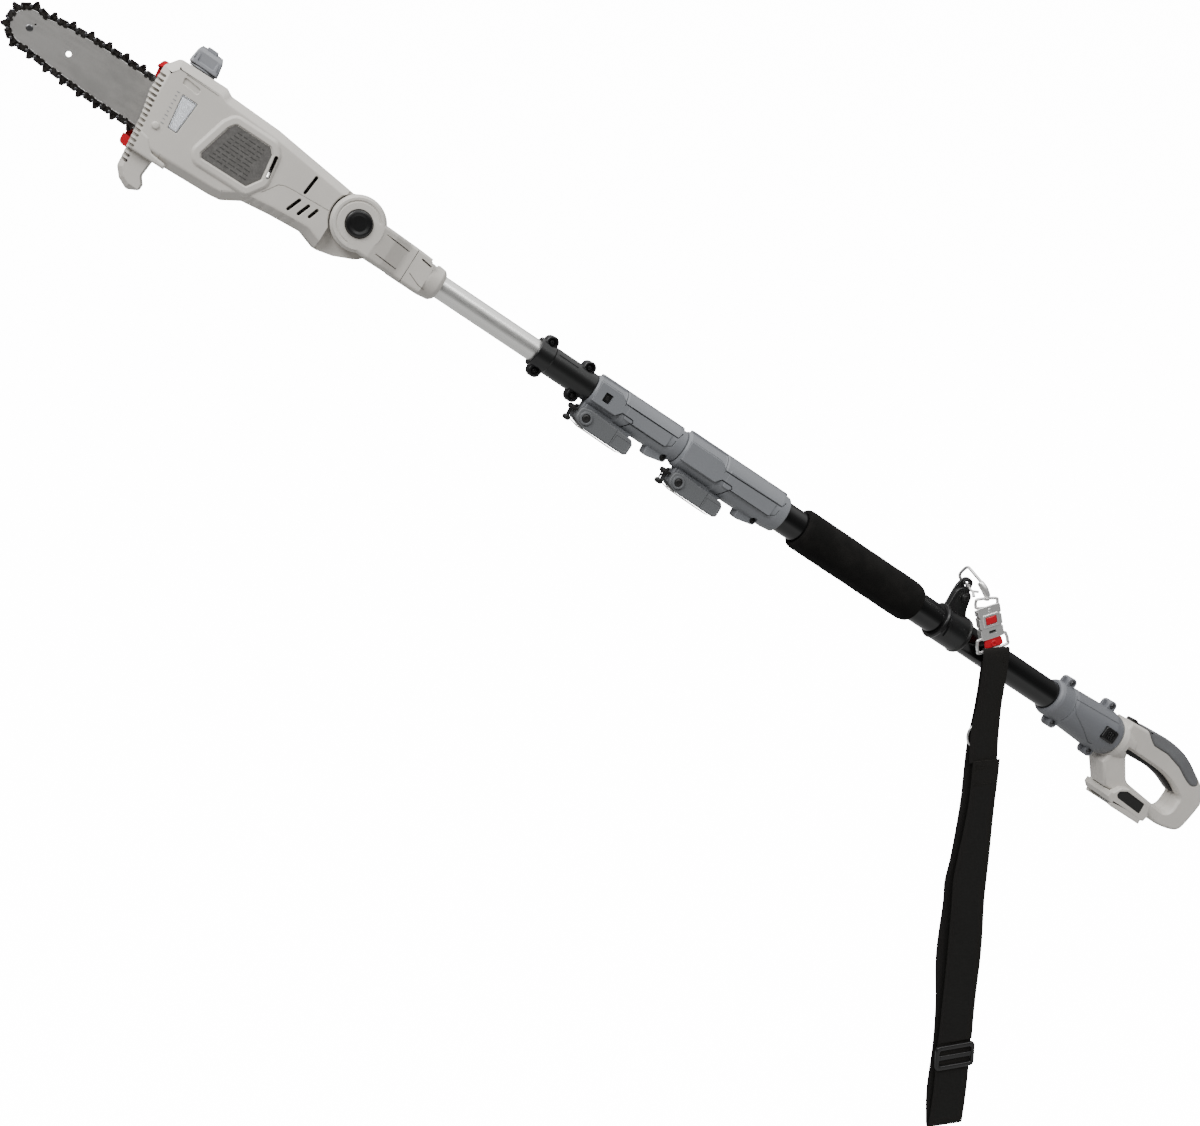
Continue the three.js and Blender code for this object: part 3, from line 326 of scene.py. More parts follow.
def gather(copies):
    """One object from pairs of an object and the matrix that places a copy of it."""
    bm = bmesh.new()
    for obj, matrix in copies:
        start, first_face = len(bm.verts), len(bm.faces)
        bm.from_mesh(obj.data)
        bm.verts.ensure_lookup_table()
        bmesh.ops.transform(bm, matrix=matrix, verts=bm.verts[start:])
        if matrix.determinant() < 0:
            bm.faces.ensure_lookup_table()
            bmesh.ops.reverse_faces(bm, faces=bm.faces[first_face:])
    for used in {o for o, _ in copies}:
        bpy.data.objects.remove(used)
    return drafted(bm)


def heap(*objs):
    """One object from several that don't touch."""
    return gather([(o, Matrix.Identity(4)) for o in objs])


def both(shape):
    """The heap of what a function draws for the near side, -1, and for the far one, 1."""
    return heap(shape(-1), shape(1))


def boolean(target, operation, tools):
    for tool in tools:
        step = target.modifiers.new(operation, "BOOLEAN")
        step.object, step.operation, step.solver = tool, operation, "MANIFOLD"
    shaped = target.evaluated_get(bpy.context.evaluated_depsgraph_get())
    mesh = bpy.data.meshes.new_from_object(shaped)
    target.modifiers.clear()
    target.data = mesh
    for tool in tools:
        bpy.data.objects.remove(tool)
    return target


def cut(target, *tools):
    return boolean(target, "DIFFERENCE", tools)


def fuse(target, *tools):
    return boolean(target, "UNION", tools)


def common(target, *tools):
    return boolean(target, "INTERSECT", tools)


# ---- materials ----

class Finish:
    """A procedural material: one shader with short ways to add nodes to it."""

    def __init__(self, name, color, roughness, metallic=0.0, **fixed):
        self.material = bpy.data.materials.new(name)
        self.material.use_nodes = True
        self.tree = self.material.node_tree
        self.shader = self.tree.nodes["Principled BSDF"]
        self.color, self.roughness = (*color, 1), roughness
        self.shader.inputs["Base Color"].default_value = self.color
        self.shader.inputs["Roughness"].default_value = roughness
        self.shader.inputs["Metallic"].default_value = metallic
        for key, value in fixed.items():
            self.shader.inputs[key.replace("_", " ")].default_value = value
        self.place = self.node("ShaderNodeTexCoord").outputs["Object"]
        self.normal = None

    def node(self, kind, inputs=(), **settings):
        added = self.tree.nodes.new(kind)
        for key, value in settings.items():
            setattr(added, key, value)
        for key, value in dict(inputs).items():
            if isinstance(value, bpy.types.NodeSocket):
                self.tree.links.new(value, added.inputs[key])
            else:
                added.inputs[key].default_value = value
        return added

    def math(self, operation, a, b=0.0):
        return self.node("ShaderNodeMath", {0: a, 1: b}, operation=operation).outputs[0]

    def along_pole(self, stretch):
        """Coordinates turned into the pole's frame and stretched along it."""
        turned = self.node("ShaderNodeMapping", {"Vector": self.place, "Rotation": (0, -SLOPE, 0)})
        scaled = self.node("ShaderNodeMapping", {"Vector": turned.outputs[0], "Scale": (stretch, 1, 1)})
        return scaled.outputs[0]

    def noise(self, scale, detail=3.0, where=None, rough=0.55):
        return self.node("ShaderNodeTexNoise", {
            "Vector": where or self.place, "Scale": scale, "Detail": detail, "Roughness": rough,
        }).outputs["Fac"]

    def cells(self, scale, randomness):
        inputs = {"Vector": self.place, "Scale": scale, "Randomness": randomness}
        return self.node("ShaderNodeTexVoronoi", inputs, feature="F1").outputs["Distance"]

    def ramp(self, value, low, high, start=0.0, end=1.0):
        return self.node("ShaderNodeMapRange", {
            "Value": value, "From Min": low, "From Max": high, "To Min": start, "To Max": end,
        }, interpolation_type="SMOOTHSTEP").outputs["Result"]

    def patches(self, scale, detail, low, high, rough=0.55):
        """Soft-edged patches of noise."""
        return self.ramp(self.noise(scale, detail, rough=rough), low, high)

    def paint(self, share, a, b):
        """Colours the surface with a, and with b where share is high."""
        self.color = self.node("ShaderNodeMix", {"Factor": share, 6: a, 7: b},
                               data_type="RGBA").outputs[2]
        self.tree.links.new(self.color, self.shader.inputs["Base Color"])

    def mottle(self, share, a, b):
        self.paint(share, (*a, 1), (*b, 1))

    def tint(self, share, most, color):
        """Moves the colour towards another one where share is high, by up to the share most."""
        self.paint(self.math("MULTIPLY", share, most), self.color, (*color, 1))

    def rough(self, value):
        self.tree.links.new(value, self.shader.inputs["Roughness"])

    def bump(self, height, strength, depth):
        step = self.node("ShaderNodeBump", {"Height": height, "Strength": strength, "Distance": depth})
        if self.normal:
            self.tree.links.new(self.normal, step.inputs["Normal"])
        self.normal = step.outputs[0]
        self.tree.links.new(self.normal, self.shader.inputs["Normal"])

    def soft_edges(self, radius):
        """Rounds the shading of hard edges, and returns where those edges are."""
        bevel = self.node("ShaderNodeBevel", {"Radius": radius}, samples=4)
        face = self.node("ShaderNodeNewGeometry").outputs["Normal"]
        turned = self.node("ShaderNodeVectorMath", {0: bevel.outputs[0], 1: face},
                           operation="DOT_PRODUCT")
        self.normal = bevel.outputs[0]
        self.tree.links.new(self.normal, self.shader.inputs["Normal"])
        return self.ramp(turned.outputs["Value"], 0.995, 0.86)


def moulded(name, color, roughness, wear=0.16):
    """Moulded plastic: a fine sparked grain, slow changes of shade, and edges rubbed paler."""
    finish = Finish(name, color, roughness)
    edges = finish.soft_edges(0.0004)
    shade = finish.patches(14, 4, 0.3, 0.7)
    finish.mottle(shade, [c * 0.955 for c in color], [min(1, c * 1.035) for c in color])
    finish.tint(edges, wear, [min(1, c * 1.5 + 0.05) for c in color])
    scuff = finish.patches(90, 6, 0.56, 0.78, rough=0.7)
    finish.rough(finish.ramp(scuff, 0, 1, roughness, roughness + 0.14))
    finish.bump(finish.noise(2600, 2), 0.35, 0.00005)
    return finish.material


def gloss_black(name):
    """Black anodised tube: gloss with fine drawing lines and a little dust."""
    finish = Finish(name, (0.004, 0.004, 0.0042), 0.2)
    lines = finish.noise(900, 3, finish.along_pole(0.06))
    dust = finish.patches(160, 6, 0.6, 0.85, rough=0.75)
    finish.tint(dust, 0.05, (0.11, 0.11, 0.105))
    finish.rough(finish.ramp(dust, 0, 1, 0.17, 0.34))
    finish.bump(lines, 0.12, 0.00003)
    return finish.material


def satin_metal(name, color, roughness, dirt, metal=1.0):
    """Bare or plated metal with fine lines along the pole."""
    finish = Finish(name, color, roughness, metal)
    finish.soft_edges(0.0002)
    grain = finish.noise(1300, 3, finish.along_pole(0.05))
    stain = finish.patches(45, 6, 0.45, 0.8, rough=0.7)
    finish.tint(stain, dirt, [c * 0.55 for c in color])
    finish.rough(finish.ramp(grain, 0.3, 0.7, roughness * 0.86, roughness * 1.2))
    finish.bump(grain, 0.2, 0.00003)
    return finish.material


def blade_steel():
    """The guide bar: matt ground steel, greyed by oil, its lines along the bar."""
    finish = Finish("bar steel", (0.3, 0.29, 0.28), 0.5, 0.6)
    edges = finish.soft_edges(0.0005)
    grain = finish.noise(1500, 3, finish.along_pole(0.03))
    stain = finish.patches(26, 6, 0.35, 0.75, rough=0.62)
    finish.mottle(stain, (0.31, 0.302, 0.29), (0.245, 0.24, 0.23))
    finish.tint(edges, 0.8, (0.75, 0.75, 0.74))
    finish.rough(finish.ramp(grain, 0.3, 0.7, 0.44, 0.58))
    finish.bump(grain, 0.18, 0.00003)
    return finish.material


def oiled_steel(name, color, roughness=0.3):
    """Chain steel: dark and oily; its edges painted paler, partly as polish where it rubs and partly as
    painted highlight.
    """
    finish = Finish(name, color, roughness, 1.0)
    edges = finish.soft_edges(0.0003)
    oil = finish.patches(420, 4, 0.4, 0.7)
    finish.tint(oil, 0.6, (0.012, 0.011, 0.01))
    # Edges painted paler: partly polish where the chain rubs, partly painted highlight.
    finish.tint(edges, 0.4, (0.3, 0.29, 0.28))
    finish.rough(finish.ramp(oil, 0, 1, roughness, 0.16))
    return finish.material


def foam_cells():
    """Closed-cell foam: matt, with small open cells and a soft mottle."""
    finish = Finish("foam", (0.005, 0.0045, 0.0042), 0.93, Specular_IOR_Level=0.15)
    cells = finish.cells(620, 1)
    mottle = finish.patches(60, 5, 0.35, 0.7)
    finish.mottle(mottle, (0.004, 0.0036, 0.0033), (0.008, 0.0072, 0.0066))
    # The open cells' pits are painted darker: painted shade in the cells.
    finish.tint(finish.ramp(cells, 0.6, 0.15), 0.5, (0.003, 0.003, 0.003))
    finish.bump(cells, 0.55, 0.0003)
    finish.bump(finish.noise(140, 4), 0.35, 0.0006)
    return finish.material


def woven():
    """Polyester webbing: cross ribs bound by yarns that run down the strap."""
    finish = Finish("webbing", (0.006, 0.0055, 0.005), 0.85, Specular_IOR_Level=0.2)
    x, _, z = finish.node("ShaderNodeSeparateXYZ", {0: finish.place}).outputs
    wobble = finish.math("MULTIPLY", finish.noise(70, 2), 0.0012)
    rib = finish.math("SINE", finish.math("MULTIPLY", finish.math("ADD", z, wobble),
                                          2 * math.pi / 0.0013))
    yarn = finish.math("SINE", finish.math("MULTIPLY", x, 2 * math.pi / 0.0021))
    crossing = finish.math("MULTIPLY", rib, yarn)
    weave = finish.math("ADD", finish.math("MULTIPLY", crossing, 0.5), finish.math("MULTIPLY", rib, 0.35))
    # The ribs' crests are painted lighter and the hollows between them darker: painted highlight and
    # painted shade of the weave.
    weave_painted_light = finish.ramp(weave, -0.4, 0.7)
    finish.mottle(weave_painted_light, (0.005, 0.0044, 0.004), (0.018, 0.016, 0.0145))
    lint = finish.patches(900, 4, 0.72, 0.8, rough=0.8)
    finish.tint(lint, 0.15, (0.12, 0.11, 0.1))
    finish.bump(weave, 0.6, 0.00028)
    return finish.material


def rubbered():
    """The soft grip: overmoulded rubber with a close dimple pattern."""
    finish = Finish("soft grip", (0.16, 0.163, 0.168), 0.62)
    edges = finish.soft_edges(0.0005)
    dimples = finish.cells(900, 0.25)
    shade = finish.patches(30, 4, 0.3, 0.7)
    finish.mottle(shade, (0.12, 0.122, 0.127), (0.145, 0.148, 0.153))
    finish.tint(edges, 0.3, (0.3, 0.3, 0.3))
    finish.bump(dimples, 0.3, 0.00012)
    return finish.material


def clear_plastic(name, color, through):
    finish = Finish(name, color, 0.3, Transmission_Weight=through, IOR=1.46)
    finish.soft_edges(0.0003)
    finish.rough(finish.ramp(finish.noise(300, 4), 0.3, 0.8, 0.24, 0.42))
    finish.bump(finish.noise(1800, 2), 0.3, 0.00005)
    return finish.material


def plate_print():
    """The rating plate's ground: dark, finely mottled foil."""
    finish = Finish("rating plate", (0.12, 0.115, 0.11), 0.45, 0.2)
    mottle = finish.patches(700, 5, 0.35, 0.7, rough=0.7)
    finish.mottle(mottle, (0.1, 0.096, 0.092), (0.15, 0.145, 0.138))
    finish.rough(finish.ramp(finish.noise(120, 4), 0.3, 0.7, 0.36, 0.52))
    finish.bump(mottle, 0.2, 0.00004)
    return finish.material


# Each kind of surface: the material slot it fills and its material.
MATERIALS = {
    "shell": ("housing_plastic", moulded("housing plastic", (0.56, 0.535, 0.495), 0.4)),
    "cap": ("cap_plastic", moulded("cap plastic", (0.235, 0.242, 0.262), 0.42)),
    "lock": ("lock_plastic", moulded("lock plastic", (0.178, 0.185, 0.198), 0.46)),
    # The connector takes the lock plastic's colour made about a fifth darker.
    "joint": ("lock_plastic", moulded("darker lock plastic", (0.142, 0.147, 0.16), 0.44)),
    "lever": ("lever_plastic", moulded("lever plastic", (0.115, 0.119, 0.124), 0.5)),
    "red": ("red_plastic", moulded("red plastic", (0.5, 0.003, 0.014), 0.33, wear=0.04)),
    "black": ("black_plastic", moulded("black plastic", (0.006, 0.006, 0.0062), 0.3, wear=0.12)),
    "dark": ("black_plastic", moulded("dark plastic", (0.009, 0.0085, 0.0082), 0.45, wear=0.12)),
    "tube": ("black_tube", gloss_black("black tube")),
    "alloy": ("bare_aluminium", satin_metal("bare aluminium", (0.8, 0.795, 0.77), 0.3, 0.05, metal=0.85)),
    "bright": ("bright_steel", satin_metal("bright steel", (0.8, 0.795, 0.78), 0.14, 0.25, metal=0.72)),
    "screw": ("bright_steel", satin_metal("screw steel", (0.16, 0.16, 0.165), 0.32, 0.4)),
    "gear": ("gear_steel", satin_metal("gear steel", (0.5, 0.44, 0.3), 0.35, 0.5)),
    "copper": ("copper_winding", satin_metal("copper winding", (0.62, 0.27, 0.11), 0.35, 0.4)),
    "bar": ("bar_steel", blade_steel()),
    "chain": ("chain_steel", oiled_steel("chain steel", (0.11, 0.1, 0.093))),
    "cutter": ("chain_steel", oiled_steel("cutter steel", (0.2, 0.19, 0.18), 0.25)),
    "foam": ("foam", foam_cells()),
    "webbing": ("webbing", woven()),
    "grip": ("soft_grip", rubbered()),
    "clear": ("clear_plastic", clear_plastic("oil window", (0.78, 0.8, 0.84), 0.25)),
    "tank": ("clear_plastic", clear_plastic("oil tank", (0.8, 0.8, 0.76), 0.5)),
    "plate": ("plate_finish", plate_print()),
    "ink": ("plate_finish", moulded("plate relief", (0.045, 0.043, 0.041), 0.5, wear=0.0)),
}


def piece(obj, name, kind, body, *nodes, matrix=POLE, crease=32):
    """Names a finished piece, gives it its material, puts it in place on its body and hides the
    CAD nodes it stands for."""
    slot, material = MATERIALS[kind]
    obj.data.transform(matrix)
    obj.name = obj.data.name = name
    obj.data.materials.clear()
    obj.data.materials.append(material)
    for face in obj.data.polygons:
        face.use_smooth = True
    obj.data.set_sharp_from_angle(angle=math.radians(crease))
    obj.modifiers.new("even shading", "WEIGHTED_NORMAL").keep_sharp = True
    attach(obj, body)
    if nodes:
        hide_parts(*nodes)
    return obj


def mirrored(obj):
    """The far side's copy of a near-side shape."""
    obj.data.transform(Matrix.Diagonal((1, -1, 1, 1)))
    obj.data.flip_normals()
    return obj


def halves(build, name, kind, body, node, crease=32):
    """The two halves of a casing. build(side) draws either one on the near side."""
    for side, end in ((-1, "_near"), (1, "_far")):
        half = build(side)
        piece(half if side < 0 else mirrored(half), name + end, kind, body, node + end, crease=crease)


def screw_head(x, z, y, r):
    """A pan head with a cross recess that faces -Y, its rim at y."""
    head = spun([(0, y - 0.55 * r), (0.5 * r, y - 0.5 * r, 0.3 * r), (r, y - 0.22 * r, 0.15 * r), (r, y),
                  (0, y)], (x, z), 32)
    arms = [slab(rectangle(x - a * r, x + a * r, z - b * r, z + b * r), (y - r, y - 0.2 * r))
            for a, b in ((0.12, 0.56), (0.56, 0.12))]
    return cut(head, fuse(*arms))


# ---- guide bar and chain ----

def bar_line(grow, tail=True):
    """The bar's outline grown by a distance; without a tail it runs on round the drive sprocket."""
    half, r, middle = BAR_HALF + grow, NOSE_R + grow, SPROCKET[1]
    nx, nz = NOSE
    points = [(BAR_TAIL - 22, middle + half), (-950, middle + half),
              (-1000, middle + half - 1, nx + 0.35 * r, nz + 0.94 * r)]
    points += arc(nx, nz, r, 70, 290, 30)
    points += [(-1000, middle - half + 1, -950, middle - half), (BAR_TAIL - 22, middle - half)]
    points += [(BAR_TAIL + 6, middle - half, 5), (BAR_TAIL + 6, middle + half, 5)] if tail else \
        arc(*SPROCKET, 10.5 + grow, -69, 69, 16)
    return trace(points, 12)


def guide_bar():
    """The bar with the groove for the chain, its nose rivet and its polished rail."""
    blank = slab(bar_line(0), rounded(BAR_Y - 1.6, BAR_Y + 1.6, 0.35, steps=2))
    tools = [pin(NOSE_R + 3.4, BAR_Y - 0.75, BAR_Y + 0.75, *NOSE, count=64),
             slab(capsule((-900, SPROCKET[1]), (-884, SPROCKET[1]), 4.3), (BAR_Y - 4, BAR_Y + 4)),
             pin(2.5, BAR_Y - 4, BAR_Y + 4, -991, -12), pin(1, BAR_Y - 4, BAR_Y + 4, -1027, -6.5),
             pin(2.6, BAR_Y - 4, BAR_Y + 4, -893, SPROCKET[1] - 12)]
    rim = slab([bar_line(1), bar_line(-4.6)], (BAR_Y - 0.75, BAR_Y + 0.75))
    piece(cut(blank, *tools, rim), "guide_bar_blade", "bar", "saw_head", "guide_bar")

    head = spun([(0, BAR_Y - 2.2), (2.4, BAR_Y - 2.1, 0.3), (3.3, BAR_Y - 1.7, 0.2),
                  (3.3, BAR_Y + 1.7, 0.2), (2.4, BAR_Y + 2.1, 0.3), (0, BAR_Y + 2.2)], NOSE)
    piece(head, "nose_rivets", "screw", "saw_head", "nose_rivet")
    rail = slab([bar_line(-0.2), bar_line(-0.9)], [(BAR_Y - 1.75, 0.1), (BAR_Y - 1.5, 0)])
    piece(rail, "bar_rail_polished", "bright", "saw_head")


def chain_path(grow):
    """A function from a share of the chain's length to a place and a direction on its loop."""
    line = bar_line(grow, tail=False)
    line = line + [line[0]]
    reach = [0.0]
    for a, b in zip(line, line[1:]):
        reach.append(reach[-1] + (b - a).length)

    def at(share):
        want = share % 1 * reach[-1]
        i = max(k for k in range(len(line) - 1) if reach[k] <= want)
        step = line[i + 1] - line[i]
        return line[i] + step.normalized() * (want - reach[i]), math.atan2(step.y, step.x)

    return at, reach[-1]


def saw_chain():
    """Low-profile chain: drive links between pairs of side plates, every other pair with a cutter,
    the cutters left and right in turn. Each part is drawn at the origin, outwards of the bar at -z."""
    at, length = chain_path(2.9)
    count = 2 * round(length / 8.8 / 2)
    plate = [(-5, 0), (-4.6, -4, 1.8), (-1.4, -4.1, 1), (0, -2.8, 1), (1.4, -4.1, 1), (4.6, -4, 1.8),
             (5, 0), (4.4, 3, 1.4), (0, 2.8), (-4.4, 3, 1.4)]
    tall = [(-5, 0), (-4.6, -4.2, 0.8), (-3.0, -4.7, 0.8), (-2.0, -4.4, 0.6), (-1.2, -3, 1),
            (0.2, -3, 0.8),
            (0.8, -4.4, 0.4), (4.6, -4.1, 0.8), (5.1, -1.5), (4.4, 2.2, 1.4), (0, 2), (-4.4, 2.2, 1.4)]
    drive = [(-4.9, 0), (-4.2, -3.1, 1.2), (0, -3.5, 1.5), (4.2, -3.1, 1.2), (4.9, 0), (3.2, 2.2, 1),
             (1.0, 6.2, 0.6),
             (-1.6, 5.2, 0.6), (-3.2, 2.2, 1)]
    links, cutters, rivets = [], [], []
    side = slab(trace(plate, 4), rounded(-0.6, 0.6, 0.25, steps=2))
    middle = slab(trace(drive, 4), rounded(-0.65, 0.65, 0.2, steps=2))
    rivet = lathe([(0, -2.5), (1.2, -2.4, 0.3), (1.5, -2.0), (1.5, 2.0), (1.2, 2.4, 0.3), (0, 2.5)], "Y",
                  count=14)
    chisel = {}
    for hand in (-1, 1):
        wall = slab(trace(tall, 4), rounded(-0.6, 0.6, 0.2, steps=2))
        top = slab([(0.5, 0), (4.7, 0.2, 0.3), (4.4, 3.0, 0.3), (0.9, 3.4, 0.3)],
                   [(-4.5, 0.1), (-4.4, 0), (-3.7, 0), (-3.6, 0.1)], "XY")
        lean = Matrix.Diagonal((1, -hand, 1, 1)) @ Matrix.Rotation(math.radians(-8), 4, "Y")
        chisel[hand] = gather([(wall, Matrix.Identity(4)),
                               (top, Matrix.Translation((0, hand * 0.2, 0.3)) @ lean)])
    for k in range(count):
        spot, turn = at((k + 0.5) / count)
        place = Matrix.Translation((spot.x, BAR_Y, spot.y)) @ Matrix.Rotation(-turn, 4, "Y")
        place = place @ Matrix.Rotation(math.pi, 4, "X")
        away = {hand: place @ Matrix.Translation((0, hand * 1.5, 0)) for hand in (-1, 1)}
        if k % 2:
            links.append((middle, place @ Matrix.Diagonal((-1, 1, 1, 1))))
        else:
            hand = (0, 1, 0, -1)[k // 2 % 4]
            for each in (-1, 1):
                if each == hand:
                    cutters.append((chisel[hand], away[each] @ Matrix.Diagonal((-1, 1, 1, 1))))
                else:
                    links.append((side, away[each]))
        joint, turn = at(k / count)
        rivets.append((rivet, Matrix.Translation((joint.x, BAR_Y, joint.y))))
    piece(gather(links), "chain_links", "chain", "saw_head", "saw_chain")
    piece(gather(cutters), "chain_cutters", "cutter", "saw_head")
    # The rivets take the paler screw steel: painted highlight on their heads.
    piece(gather(rivets), "chain_rivets", "screw", "saw_head")


# ---- head housing ----

HOUSING = [
    (-914.5, -20), (-914.5, 28, 6), (-905, 41.5, 7), (-857, 43), (-850, 39, 4), (-798, 38), (-771, 35),
    (-724, 30),
    (-705, 27.8, 4), *arc(*PIVOT, 27, 82, -36, 20), (-668, -14), (-666, -20, -676, -26),
    (-695, -34.5, 10),
    (-712, -38.5, 6), (-731, -32), (-763, -34.5), (-794, -38.5, 6), (-811, -49, 8), (-822, -50.5),
    (-877, -52.5, 3),
    (-905, -52),
]
BRANCH_GUARD = [
    (-914.5, 24), (-905.4, -64), (-904.5, -74, 6), (-897.5, -83, 5), (-887, -88.6, 5),
    (-876.6, -83.2, 3.5),
    (-876.4, -77, 3), (-881.4, -70, 6), (-880, -54), (-874, -47), (-870, -40), (-885, 24),
]
RATING = [(-834, 19, 4), (-797, 19.5, 3), (-792.6, 14, 2), (-789.4, -11, 3), (-798, -24.6, 2),
          (-845, -25.4, 1.5),
          (-847.4, -21.6, 1.5), (-838.4, 12, 4)]
WINDOW = [(-887.4, 14.4, 1), (-872, 14.4, 1), (-874.4, -19, 1), (-883.6, -19, 1)]
VENTS = [
    ((-788, 14), (-785.2, -6)), ((-747, 20), (-748.8, 2)), ((-749.5, -7), (-754.4, -20)),
    ((-739.6, -7), (-743.8, -18.5)), ((-730.6, -6), (-733.6, -15)),
]
CAVITY_LEVELS = [(-31, 5.5), (-26, 0), (5, 0)]
CAVITY = [
    (-900, 12), (-900, 37, 3), (-862, 37), (-856, 33), (-798, 32), (-771, 29), (-730, 24.5), (-730, -24),
    (-763, -28), (-795, -32), (-806, -39), (-820, -44), (-880, -45), (-896, -20),
]
NECK_ROOM = [(31, -60), (31, -34.6), (29.4, -32.4, 1), (29.4, -23.4), (0, -23.4), (0, -60)]


def shell_body(depth):
    """Half of the housing, from its parting face to a face with a wide chamfer round it."""
    edge = [(-depth + h, d) for h, d in ((0, 9.6), (0.25, 8.2), (1.0, 7.1), (8.6, 0.9), (9.6, 0.25),
                                         (11, 0), (33.85, 0))]
    levels = [(h, d) for h, d in edge if h < -0.2] + [(PARTING, 0)]
    body = slab(HOUSING, levels)
    forward = [(-916, 60), (-916, 10), (-903, -52)]
    keep = slab([*forward, (-640, -60), (-640, 60)], (-60, 10))
    return common(body, keep)


def near_shell():
    """The near half of the housing, with the branch guard, the plate's rim and the scallops."""
    def front_only(p):
        return 1 if p.x < -884 - 0.1 * (p.y + 60) and p.y < 20 else 0.28

    guard = slab(BRANCH_GUARD, [(-27.4, 5.4), (-26.9, 4.4), (-21.5, 0.5), (-20, 0), (PARTING, 0)],
                 share=front_only)
    rim = trace(RATING)
    bulge = slab(inset(rim[::-1] if area(rim) < 0 else rim, -9),
                 [(-36.4, 3.4), (-36.2, 2.5), (-35.4, 1.2), (-34.2, 0.2), (-33, -0.6), (-30, -1)])
    heel = slab([(-905, -33.5, 3), (-893, -36, 4), (-884, -47, 4), (-868, -49, 4), (-868, -54),
                 (-905, -54)],
                rounded(-34.8, -26, 2.2, 0))
    knob = spun([(0, -36.2), (3.0, -35.8, 1.4), (4.2, -33, 1), (4.2, -30), (0, -30)], (-893.5, -23.4), 40)
    shell = fuse(shell_body(34), guard, bulge, heel, knob)

    grooves = []
    for i in range(18):
        t = (i + 0.5) / 18
        x, z = -914.5 + 10 * t, 22 - 90 * t
        grooves.append(slab([(x - 4, z - 1.1), (x + 5.2, z - 1.6), (x + 6.6, z - 0.6, 0.6),
                             (x + 6.6, z + 0.8, 0.6),
                                   (x + 5.2, z + 1.2), (x - 4, z + 1.1)], (-60, -14)))
    shell = cut(shell, heap(*grooves))

    hollow = slab([(-901, -60, 2), (-885, -57, 2), (-885.6, -70, 3), (-890, -80, 3), (-899, -73, 4)],
                  [(-24, -0.5), (-21, 0), (-4, 0.4)])
    scallops = [
        gather([(rod("Z", 5.2, -16, 16, edge=3, count=32),
                 Matrix.Translation((-786.5 + 10.2 * k, -31.9, -36.7 + 1.05 * k))
                 @ Matrix.Rotation(math.radians(30), 4, "Y") @ Matrix.Rotation(math.radians(50), 4,
                                                                               "X"))])
        for k in range(5)]
    lines = [ribbon([(-783, -21), (-773.5, -6), (-768, -3.4), (-760, -2.4), (-719, 0.4)], 0.7),
             ribbon([(-893, 31.4), (-860, 31.8)], 0.7)]
    tools = [
        slab(CAVITY, CAVITY_LEVELS), pin(6.3, -60, 1, *PIVOT), hollow,
        spun(NECK_ROOM, PIVOT, 96), block(-714, -640, -60, -23.4, -60, 60),
        slab(WINDOW, [(-36, -2), (-34.6, -0.9), (-34, -0.5), (-33.2, 0), (-20, 0)]),
        slab(rim, [(-38, -2.2), (-36.6, -1.6), (-36, -1), (-35, PARTING), (-34.5, 0)]),
        rod("Z", 10.3, 30, 70, (CAP_AT[0], CAP_AT[1], 0)),
        *[slab(capsule(a, b, 1.55), [(-40, -0.5), (-34, -0.4), (-33.3, 0), (-26, 0)]) for a, b in VENTS],
        *[slab(line, (-60, -33.3)) for line in lines], *scallops,
        slab([(-893, 28.6, 1.5), (-876.4, 27, 1.5), (-876.4, 21.4, 1.5), (-892, 23, 1.5)],
             [(-36, -1.2), (-34, -0.6), (-32.6, 0)]),
    ]
    shell = cut(shell, *tools)
    marks = [block(-893.2 + 0.055 * (14 - z), -890.2 + 0.055 * (14 - z) - 0.9 * (i % 2), -34.35, -33.6,
                   z - 0.3, z + 0.3, 0.1)
             for i, z in enumerate(range(14, -20, -4))]
    piece(shell, "housing_near", "shell", "saw_head", "head_shell_near", crease=28)
    piece(heap(*marks), "oil_level_marks", "cap", "saw_head")


def far_shell():
    """The far half, open where the bar, the chain and the drive sprocket sit, and its screws."""
    shell = mirrored(shell_body(30))
    bolts = [(-738, 17), (-818, 25), (-764, -22)]
    room = common(slab(CAVITY, (-5, 27)), block(-833, -640, -60, 60, -90, 60))
    tools = [
        room, block(-930, -836, 9, 60, -100, 60),
        pin(4.3, -1, 30, *SPROCKET), pin(3.3, -1, 30, *BAR_NUT), pin(6.3, -1, 60, *PIVOT),
        mirrored(spun(NECK_ROOM, PIVOT, 96)),
        block(-714, -640, 23.4, 60, -60, 60),
        rod("Z", 10.3, 30, 70, (CAP_AT[0], CAP_AT[1], 0)),
        *[slab(capsule((-826 + 9 * k, 12), (-822 + 9 * k, -14), 1.5), [(24, 0), (34, -0.5)])
          for k in range(4)],
        *[spun([(0, 24), (3.9, 24), (3.9, 29), (4.4, 30.4), (4.4, 34), (0, 34)], (x, z), 40)
          for x, z in bolts],
    ]
    shell = cut(shell, *tools)
    piece(shell, "housing_far", "shell", "saw_head", "head_shell_far", crease=28)
    heads = [mirrored(screw_head(x, z, -25.4, 3.4)) for x, z in bolts]
    piece(heap(*heads), "housing_screws", "screw", "saw_head")


